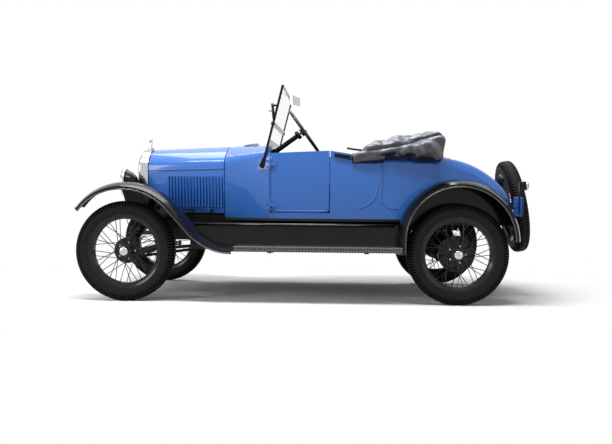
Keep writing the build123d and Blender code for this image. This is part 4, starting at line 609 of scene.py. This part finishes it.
# Tail lamp and plate: a red glass in a plated rim, and a blank pressed plate under it, painted blue.
# The lamp is on a black stem; the plate's edge is rolled.
red_glass, tree, shader = material("red_pressed_glass", {
    "Base Color": lin("#A8120F"), "Roughness": 0.12, "Transmission Weight": 0.4,
})
spots = node(tree, "ShaderNodeTexCoord")
drop = node(tree, "ShaderNodeTexVoronoi", {"Scale": 1 / 0.007}, {"Vector": spots.outputs["Object"]})
facet = node(tree, "ShaderNodeBump", {"Strength": 0.4, "Distance": 0.001}, {"Height": drop.outputs["Distance"]})
tree.links.new(facet.outputs["Normal"], shader.inputs["Normal"])
tail_turn = Matrix.Translation((1.657, -0.620, 0.910)) @ Matrix.Rotation(math.pi / 2, 4, "Z")
tail_rim = lathe("tail_rim", [
    (0.0333, 0.006), (0.0358, 0.005), (0.0364, -0.002), (0.0345, -0.006), (0.0290, -0.0065),
], 40)
put("tail_lamp_rim", tail_rim, nickel, "chassis", tail_turn)
glass = lathe("tail_glass", [
    (0.0292, -0.004), (0.0285, -0.009), (0.023, -0.014), (0.012, -0.0170), (0.0, -0.0178),
], 40)
put("tail_lamp_glass", glass, red_glass, "chassis", tail_turn)


def rounded(width, height, corner, lift):
    """Loop of points of a rounded rectangle at a height."""
    loop = []
    for sx, sy, start in ((1, 1, 0), (-1, 1, 90), (-1, -1, 180), (1, -1, 270)):
        for a in np.radians(np.linspace(start, start + 90, 6)):
            loop.append((sx * (width / 2 - corner) + corner * math.cos(a),
                         sy * (height / 2 - corner) + corner * math.sin(a), lift))
    return loop


plate_rows = rounded(0.146, 0.300, 0.012, 0.0) + rounded(0.146, 0.300, 0.012, 0.0022)
plate_rows += rounded(0.138, 0.292, 0.010, 0.0026) + rounded(0.134, 0.288, 0.009, 0.0010)
plate_mesh = skin("plate", plate_rows, 24, ends=True)
for name, x, turn in (("plate_front", 1.608, -math.pi / 2), ("plate_rear", 1.614, math.pi / 2)):
    place = Matrix.Translation((x, -0.560, 0.750)) @ Matrix.Rotation(turn, 4, "Y")
    put(name, plate_mesh, blue_enamel, "chassis", place)

# Windshield hardware: a thumb nut on each post at the split, and a black swing arm with a brass pin in front.
# The arm carries the upper pane when it is tilted; it is bolted to the left post by two short lugs.
brass, tree, shader = material("bare_brass", {"Base Color": lin("#B08A45"), "Metallic": 1.0})
spots = node(tree, "ShaderNodeTexCoord")
dim = node(tree, "ShaderNodeTexNoise", {"Scale": 1 / 0.01, "Detail": 4.0}, {"Vector": spots.outputs["Object"]})
haze = node(tree, "ShaderNodeMapRange", {"To Min": 0.2, "To Max": 0.4}, {"Value": dim.outputs["Fac"]})
tree.links.new(haze.outputs["Result"], shader.inputs["Roughness"])
post_y = 0.556
thumb = lathe("thumb_nut", [
    (0.006, 0.0), (0.015, -0.001), (0.0165, -0.004), (0.0165, -0.012), (0.0145, -0.016),
    (0.006, -0.018), (0.0, -0.018),
], 14)
for hand, s in (("left", -1), ("right", 1)):
    place = Matrix.Translation((-0.2917, s * post_y, 1.3803)) @ Matrix.Rotation(0 if s < 0 else math.pi, 4, "Z")
    put("screen_thumb_nut_" + hand, thumb, black_enamel, "chassis", place)
swing = [(x, -post_y, z) for x, z in ((-0.284, 1.412), (-0.289, 1.44), (-0.294, 1.50), (-0.298, 1.536))]
put("screen_swing_arm", rod("swing_arm", swing, 0.011, 12), black_enamel, "chassis")
for count, (back_x, front_x, z) in enumerate(((-0.276, -0.292, 1.425), (-0.258, -0.296, 1.522))):
    bolt = [(back_x, -0.548, z), ((back_x + front_x) / 2, -0.552, z), (front_x, -post_y, z)]
    put(f"screen_arm_lug_{count}", rod("arm_lug", bolt, 0.008), black_enamel, "chassis")
pin = rod("arm_pin", [(-0.292, -post_y, 1.479), (-0.310, -post_y, 1.480), (-0.326, -post_y, 1.480)], 0.006)
put("screen_arm_pin", pin, brass, "chassis")

# Top prop irons: two flat black irons on the body's side carry the front end of each sleeve.
# Forged steel, painted black, pinned to the folded bows.
for hand, s in (("left", -1), ("right", 1)):
    bend = [(0.288, s * 0.540, 1.196), (0.30, s * 0.540, 1.190), (0.36, s * 0.542, 1.182), (0.41, s * 0.545, 1.176)]
    put("top_prop_iron_" + hand, rod("prop_iron", bend, 0.008), black_enamel, "chassis")

# Steering-wheel trim: a plated nut on the hub, and the spark and throttle levers under the rim.
# The levers are bent nickel rods with small black knobs, in a quadrant on the column.
hub = Vector((-0.065, -0.225, 1.346))
rake = math.radians(36)
axis = Vector((math.cos(rake), 0, math.sin(rake)))
nut = lathe("wheel_nut", [(0.022, 0.004), (0.023, -0.012), (0.020, -0.020), (0.010, -0.024), (0.0, -0.024)], 8)
turn = Vector((0, -1, 0)).rotation_difference(axis).to_matrix().to_4x4()
put("steering_wheel_nut", nut, nickel, "steering_wheel", Matrix.Translation(hub) @ turn)
for name, s in (("spark_lever", -1), ("throttle_lever", 1)):
    root = hub - axis * 0.075
    tip = root + Vector((0.0, s * 0.135, 0.0)) + axis * 0.012
    lever = rod("lever", [root, root + Vector((0, s * 0.06, 0)), tip], 0.0034)
    put(name, lever, nickel, "chassis")
    put(name + "_knob", ball, black_enamel, "chassis", Matrix.Translation(tip))

# Dash instruments: a charge gauge in a plated bezel and a switch on a small plate, let into the black panel.
# The dial is cream enamel under flat glass, with a plain needle.
dial_cream, tree, shader = material("cream_dial_enamel", {"Roughness": 0.4})
spots = node(tree, "ShaderNodeTexCoord")
age = node(tree, "ShaderNodeTexNoise", {"Scale": 1 / 0.015, "Detail": 4.0}, {"Vector": spots.outputs["Object"]})
shade = node(tree, "ShaderNodeMix", {"data_type": "RGBA", 6: lin("#D8CFB8"), 7: lin("#E6DFCB")},
             {0: age.outputs["Fac"]})
tree.links.new(shade.outputs[2], shader.inputs["Base Color"])
dash_turn = Matrix.Rotation(math.pi / 2, 4, "Z")
dash_x, dash_z = -0.358, 1.135
bezel = lathe("gauge_bezel", [
    (0.034, 0.0), (0.036, -0.004), (0.0345, -0.008), (0.030, -0.0085), (0.0285, -0.005),
], 40)
dial = lathe("gauge_dial", [(0.029, -0.0045), (0.015, -0.0045), (0.0, -0.0045)], 40)
place = Matrix.Translation((dash_x, 0.03, dash_z)) @ dash_turn
put("charge_gauge_bezel", bezel, nickel, "chassis", place)
put("charge_gauge_dial", dial, dial_cream, "chassis", place)
pointer = [(-0.3525, y, z) for y, z in ((0.03, 1.128), (0.034, 1.142), (0.039, 1.158))]
needle = rod("gauge_needle", pointer, 0.0008, 6)
put("charge_gauge_needle", needle, black_enamel, "chassis")
switch = lathe("switch", [
    (0.024, 0.0), (0.024, -0.002), (0.009, -0.003), (0.009, -0.012), (0.006, -0.014), (0.0, -0.014),
], 24)
place = Matrix.Translation((dash_x, -0.06, dash_z)) @ dash_turn
put("lamp_switch", switch, nickel, "chassis", place)

# Seat: a sprung cushion and back in black pleated leather, sewn in channels over horsehair.
# The pads are swollen from their CAD form by cloth simulation, then drawn in along the sewn lines.
leather, tree, shader = material("black_grained_leather", {"Roughness": 0.45, "Specular IOR Level": 0.3})
spots = node(tree, "ShaderNodeTexCoord")
pebble = node(tree, "ShaderNodeTexVoronoi", {"Scale": 1 / 0.004}, {"Vector": spots.outputs["Object"]})
wear = node(tree, "ShaderNodeTexNoise", {"Scale": 1 / 0.15, "Detail": 5.0}, {"Vector": spots.outputs["Object"]})
shade = node(tree, "ShaderNodeMix", {"data_type": "RGBA", 6: lin("#131315"), 7: lin("#28272A")},
             {0: wear.outputs["Fac"]})
grain = node(tree, "ShaderNodeBump", {"Strength": 0.25, "Distance": 0.0006}, {"Height": pebble.outputs["Distance"]})
tree.links.new(shade.outputs[2], shader.inputs["Base Color"])
tree.links.new(grain.outputs["Normal"], shader.inputs["Normal"])


def places(mesh, what="co"):
    """Vertex places or normals of a mesh as an array."""
    found = np.empty(len(mesh.vertices) * 3, dtype=np.float32)
    (mesh.vertices if what == "co" else mesh.vertex_normals).foreach_get("co" if what == "co" else "vector", found)
    return found.reshape(-1, 3).astype(float)


def move(mesh, points):
    """Set the vertex places of a mesh."""
    mesh.vertices.foreach_set("co", points.astype(np.float32).ravel())
    mesh.update()


def stuffed(name, source, voxel, inset, cap, pressure, held):
    """Cover of a CAD solid, remeshed and swollen by its filling where it isn't held by what it lies on."""
    made = bpy.data.objects.new(name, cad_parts[source].data.copy())
    bpy.context.scene.collection.objects.link(made)
    remesh = made.modifiers.new("remesh", "REMESH")
    remesh.mode = "VOXEL"
    remesh.voxel_size = voxel
    mesh = bpy.data.meshes.new_from_object(made.evaluated_get(bpy.context.evaluated_depsgraph_get()))
    made.modifiers.clear()
    made.data = mesh
    shape = bmesh.new()
    shape.from_mesh(mesh)
    for count in range(5):
        bmesh.ops.smooth_vert(shape, verts=shape.verts, factor=0.5,
                              use_axis_x=True, use_axis_y=True, use_axis_z=True)
    shape.to_mesh(mesh)
    shape.free()
    points, normals = places(mesh), places(mesh, "normal")
    free = np.array([0.0 if held(p, n) else 1.0 for p, n in zip(points, normals)])[:, None]
    start = points - inset * free * normals
    move(mesh, start)
    cloth = made.modifiers.new("cover", "CLOTH")
    cloth.settings.use_pressure = True
    cloth.settings.uniform_pressure_force = pressure
    cloth.settings.effector_weights.gravity = 0
    cloth.settings.quality = 4
    cloth.collision_settings.use_collision = False
    for count in range(1, 21):
        bpy.context.scene.frame_set(count)
    swollen = made.evaluated_get(bpy.context.evaluated_depsgraph_get()).to_mesh()
    step = (places(swollen) - start) * free
    made.modifiers.clear()
    bpy.context.scene.frame_set(1)
    length = np.maximum(np.linalg.norm(step, axis=1, keepdims=True), 1e-9)
    move(mesh, start + step * np.minimum(1.0, cap / length))
    mesh.polygons.foreach_set("use_smooth", [True] * len(mesh.polygons))
    mesh.materials.clear()
    return made


channel, seam_width, seam_depth = 0.0833, 0.011, 0.013
for name, node_name, held, faces_out in (
    ("seat_cushion_pleated", "seat_cushion", lambda p, n: p[0] > 0.36 or p[2] < 0.815, (0, 0, 1)),
    ("seat_back_pleated", "seat_back", lambda p, n: n[0] > 0.3 or p[2] < 0.86, (-1, 0, 0)),
):
    pad = stuffed(name, node_name, voxel=0.008, inset=0.004, cap=0.012, pressure=4.0, held=held)
    points, normals = places(pad.data), places(pad.data, "normal")
    shown = np.clip(normals @ np.array(faces_out) * 1.6, 0, 1)
    off_seam = np.abs((points[:, 1] / channel + 0.5) % 1.0 - 0.5) * channel
    drawn = seam_depth * np.exp(-(off_seam / seam_width) ** 2) * shown * (np.abs(points[:, 1]) < 0.47)
    move(pad.data, points - normals * drawn[:, None])
    pad.data.materials.append(leather)
    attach(pad, "chassis")
    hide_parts(node_name)

# Folded top: rubbered cloth laid over its bows in a soft bundle behind the seat, with a sleeve along each side.
# Simulated as a slack bag, then creased; a piped seam runs up each side from the front sleeve to the back.
top_cloth, tree, shader = material("rubbered_top_cloth", {"Roughness": 0.33, "Specular IOR Level": 0.8})
spots = node(tree, "ShaderNodeTexCoord")
# Up-facing cloth is painted light grey, in patches from a noise: painted light from above. It stays black where it
# faces sideways or down: painted shade.
# The real grain is under half a millimetre; it is drawn at 3 mm so that it shows.
weave = node(tree, "ShaderNodeTexVoronoi", {"Scale": 1 / 0.003}, {"Vector": spots.outputs["Object"]})
patchiness = node(tree, "ShaderNodeTexNoise", {"Scale": 1 / 0.2, "Detail": 5.0}, {"Vector": spots.outputs["Object"]})
facing = node(tree, "ShaderNodeNewGeometry")
upward = node(tree, "ShaderNodeSeparateXYZ", {}, {"Vector": facing.outputs["Normal"]})
faces_up = node(tree, "ShaderNodeMapRange", {"From Min": -0.05, "From Max": 0.55}, {"Value": upward.outputs["Z"]})
painted_top_light = node(tree, "ShaderNodeMath", {"operation": "MULTIPLY"},
              {0: faces_up.outputs["Result"], 1: patchiness.outputs["Fac"]})
# Light grey on up-facing faces and black elsewhere: painted light and painted shade.
shade = node(tree, "ShaderNodeMix", {"data_type": "RGBA", 6: lin("#15161A"), 7: lin("#8990A0")},
             {0: painted_top_light.outputs["Value"]})
grain = node(tree, "ShaderNodeBump", {"Strength": 0.2, "Distance": 0.0005}, {"Height": weave.outputs["Distance"]})
tree.links.new(shade.outputs[2], shader.inputs["Base Color"])
tree.links.new(grain.outputs["Normal"], shader.inputs["Normal"])
under = surface("rear_body", "rear_deck", "seat_back")
bundle = stuffed("folded_top_bundle", "folded_top", voxel=0.010, inset=0.004, cap=0.016, pressure=1.5,
                 held=lambda p, n: (under.find_nearest(Vector(p), 0.03)[3] or 1.0) < 0.012)
points, normals = places(bundle.data), places(bundle.data, "normal")
x, y, z = points.T
seam_x = [0.440, 0.537, 0.682, 0.786, 0.845, 0.925, 1.03]
seam_z = [1.176, 1.186, 1.212, 1.238, 1.262, 1.285, 1.306]
to_seam = z - np.interp(x, seam_x, seam_z)
side = np.clip((np.abs(y) - 0.47) / 0.08, 0, 1)
# Drawn in along the seam, pleats that fan out below it, slack waves on top, then small crumples.
crease = -0.011 * np.exp(-(to_seam / 0.014) ** 2) * side
fan = np.arctan2(z - 1.36, x - 0.80)
crease += 0.009 * side * np.sin(11 * fan + 5 * x) * np.clip(-to_seam / 0.05, 0, 1)
crease += 0.004 * (1 - side) * np.sin(2 * math.pi * x / 0.16 + 1.4 * np.sin(2.3 * y + 0.6))
crease += 0.002 * np.sin(2 * math.pi * (x + 0.35 * z) / 0.083 + 2.0 * np.sin(3.4 * y + 1.1))
crease += np.array([0.007 * noise.fractal(Vector((a * 9, b * 5, c * 9)), 0.9, 2.1, 4) for a, b, c in points])
near = np.array([min(1.0, (under.find_nearest(Vector(p), 0.06)[3] or 0.06) / 0.05) for p in points])
move(bundle.data, points + normals * (crease * near)[:, None])
bundle.data.materials.append(top_cloth)
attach(bundle, "chassis")
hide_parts("folded_top")
outside = BVHTree.FromObject(bundle, bpy.context.evaluated_depsgraph_get())
for hand, s in (("left", -1), ("right", 1)):
    line = []
    for a in np.linspace(0.445, 1.02, 40):
        hit = side_hit(outside, s, a, float(np.interp(a, seam_x, seam_z)))
        if hit is not None:
            line.append(hit + Vector((0, s * 0.001, 0)))
    put("folded_top_piping_" + hand, rod("piping", line, 0.0045), leather, "chassis")

# Stage: a white sheet with soft daylight from above and the left, as in a studio.
# The floor is drawn white for the camera and in reflections, and keeps the car's shadow.
ground = bpy.data.meshes.new("studio_floor")
ground.from_pydata([(-40, -40, 0), (40, -40, 0), (40, 40, 0), (-40, 40, 0)], [], [(0, 1, 2, 3)])
floor = bpy.data.objects.new("studio_floor", ground)
bpy.context.scene.collection.objects.link(floor)
sheet, tree, shader = material("white_studio_sheet")
ray = node(tree, "ShaderNodeLightPath")
seen = node(tree, "ShaderNodeMath", {"operation": "MAXIMUM"},
            {0: ray.outputs["Is Camera Ray"], 1: ray.outputs["Is Glossy Ray"]})
seen = node(tree, "ShaderNodeMath", {"operation": "MAXIMUM"},
            {0: seen.outputs["Value"], 1: ray.outputs["Is Transmission Ray"]})
paper = node(tree, "ShaderNodeBsdfDiffuse", {"Color": (0.4, 0.4, 0.4, 1.0)})
bright = node(tree, "ShaderNodeBsdfDiffuse", {"Color": (1.0, 1.0, 1.0, 1.0)})
glow = node(tree, "ShaderNodeEmission", {"Color": (1.0, 1.0, 1.0, 1.0), "Strength": 1.0})
spots = node(tree, "ShaderNodeTexCoord")
oval = node(tree, "ShaderNodeMapping", {"Scale": (0.6, 1.0, 1.0)}, {"Vector": spots.outputs["Object"]})
reach = node(tree, "ShaderNodeVectorMath", {"operation": "LENGTH"}, {0: oval.outputs["Vector"]})
far = node(tree, "ShaderNodeMapRange", {"From Min": 1.2, "From Max": 2.3, "interpolation_type": "SMOOTHSTEP"},
           {"Value": reach.outputs["Value"]})
both = node(tree, "ShaderNodeMixShader", {},
            {0: far.outputs["Result"], 1: bright.outputs["BSDF"], 2: glow.outputs["Emission"]})
mixed = node(tree, "ShaderNodeMixShader", {},
             {0: seen.outputs["Value"], 1: paper.outputs["BSDF"], 2: both.outputs["Shader"]})
tree.links.new(mixed.outputs["Shader"], tree.nodes["Material Output"].inputs["Surface"])
ground.materials.append(sheet)
world = bpy.data.worlds.new("studio_air")
bpy.context.scene.world = world
world.use_nodes = True
tree = world.node_tree
ray = node(tree, "ShaderNodeLightPath")
seen = node(tree, "ShaderNodeMath", {"operation": "MAXIMUM"},
            {0: ray.outputs["Is Camera Ray"], 1: ray.outputs["Is Glossy Ray"]})
seen = node(tree, "ShaderNodeMath", {"operation": "MAXIMUM"},
            {0: seen.outputs["Value"], 1: ray.outputs["Is Transmission Ray"]})
power = node(tree, "ShaderNodeMapRange", {"To Min": 0.30, "To Max": 1.0}, {"Value": seen.outputs["Value"]})
air = tree.nodes["Background"]
air.inputs["Color"].default_value = (1.0, 1.0, 1.0, 1.0)
tree.links.new(power.outputs["Result"], air.inputs["Strength"])
for name, place, aim, width, depth, watts in (
    ("sky_panel", (-0.8, -0.2, 6.0), (0.0, 0.0, 0.6), 3.6, 3.6, 60),
    ("strip_panel", (-0.4, -1.9, 5.0), (0.0, 0.0, 0.7), 5.0, 0.6, 230),
    ("left_panel", (-5.0, -4.5, 2.4), (0.0, 0.0, 0.8), 2.0, 2.0, 110),
    ("right_panel", (5.0, -5.0, 2.5), (0.2, 0.0, 0.7), 3.0, 3.0, 25),
    ("back_panel", (-0.6, 3.0, 5.4), (0.0, 0.0, 0.9), 4.5, 2.0, 130),
):
    lamp = bpy.data.lights.new(name, "AREA")
    lamp.shape = "RECTANGLE"
    lamp.size = width
    lamp.size_y = depth
    lamp.energy = watts
    made = bpy.data.objects.new(name, lamp)
    made.matrix_world = (Matrix.Translation(place)
                         @ (Vector(aim) - Vector(place)).to_track_quat("-Z", "Y").to_matrix().to_4x4())
    bpy.context.scene.collection.objects.link(made)

# Camera: where the photograph was taken from, level with the hood and square on to the left side.
# Its place, angles and shifts were fitted to the hubs, tyres and windshield, so none is a round number.
yaw, pitch, roll = (math.radians(a) for a in (2.623, -2.225, 0.466))
ahead = Vector((-math.sin(yaw) * math.cos(pitch), math.cos(yaw) * math.cos(pitch), math.sin(pitch)))
right = Vector((math.cos(yaw), math.sin(yaw), 0))
up = right.cross(ahead)
tilted_right = math.cos(roll) * right + math.sin(roll) * up
tilted_up = -math.sin(roll) * right + math.cos(roll) * up
photo_width, focal = 612, 800.2
optics = bpy.data.cameras.new("camera")
optics.sensor_width = 36.0
optics.sensor_fit = "HORIZONTAL"
optics.lens = focal / photo_width * optics.sensor_width
optics.shift_x = 2.40 / photo_width
optics.shift_y = -0.18 / photo_width
optics.clip_end = 200
camera = bpy.data.objects.new("camera", optics)
turned = Matrix((tilted_right, tilted_up, -ahead)).transposed().to_4x4()
camera.matrix_world = Matrix.Translation((0.23976, -6.80928, 0.85839)) @ turned
bpy.context.scene.collection.objects.link(camera)
bpy.context.scene.camera = camera
bpy.context.scene.view_settings.view_transform = "Standard"
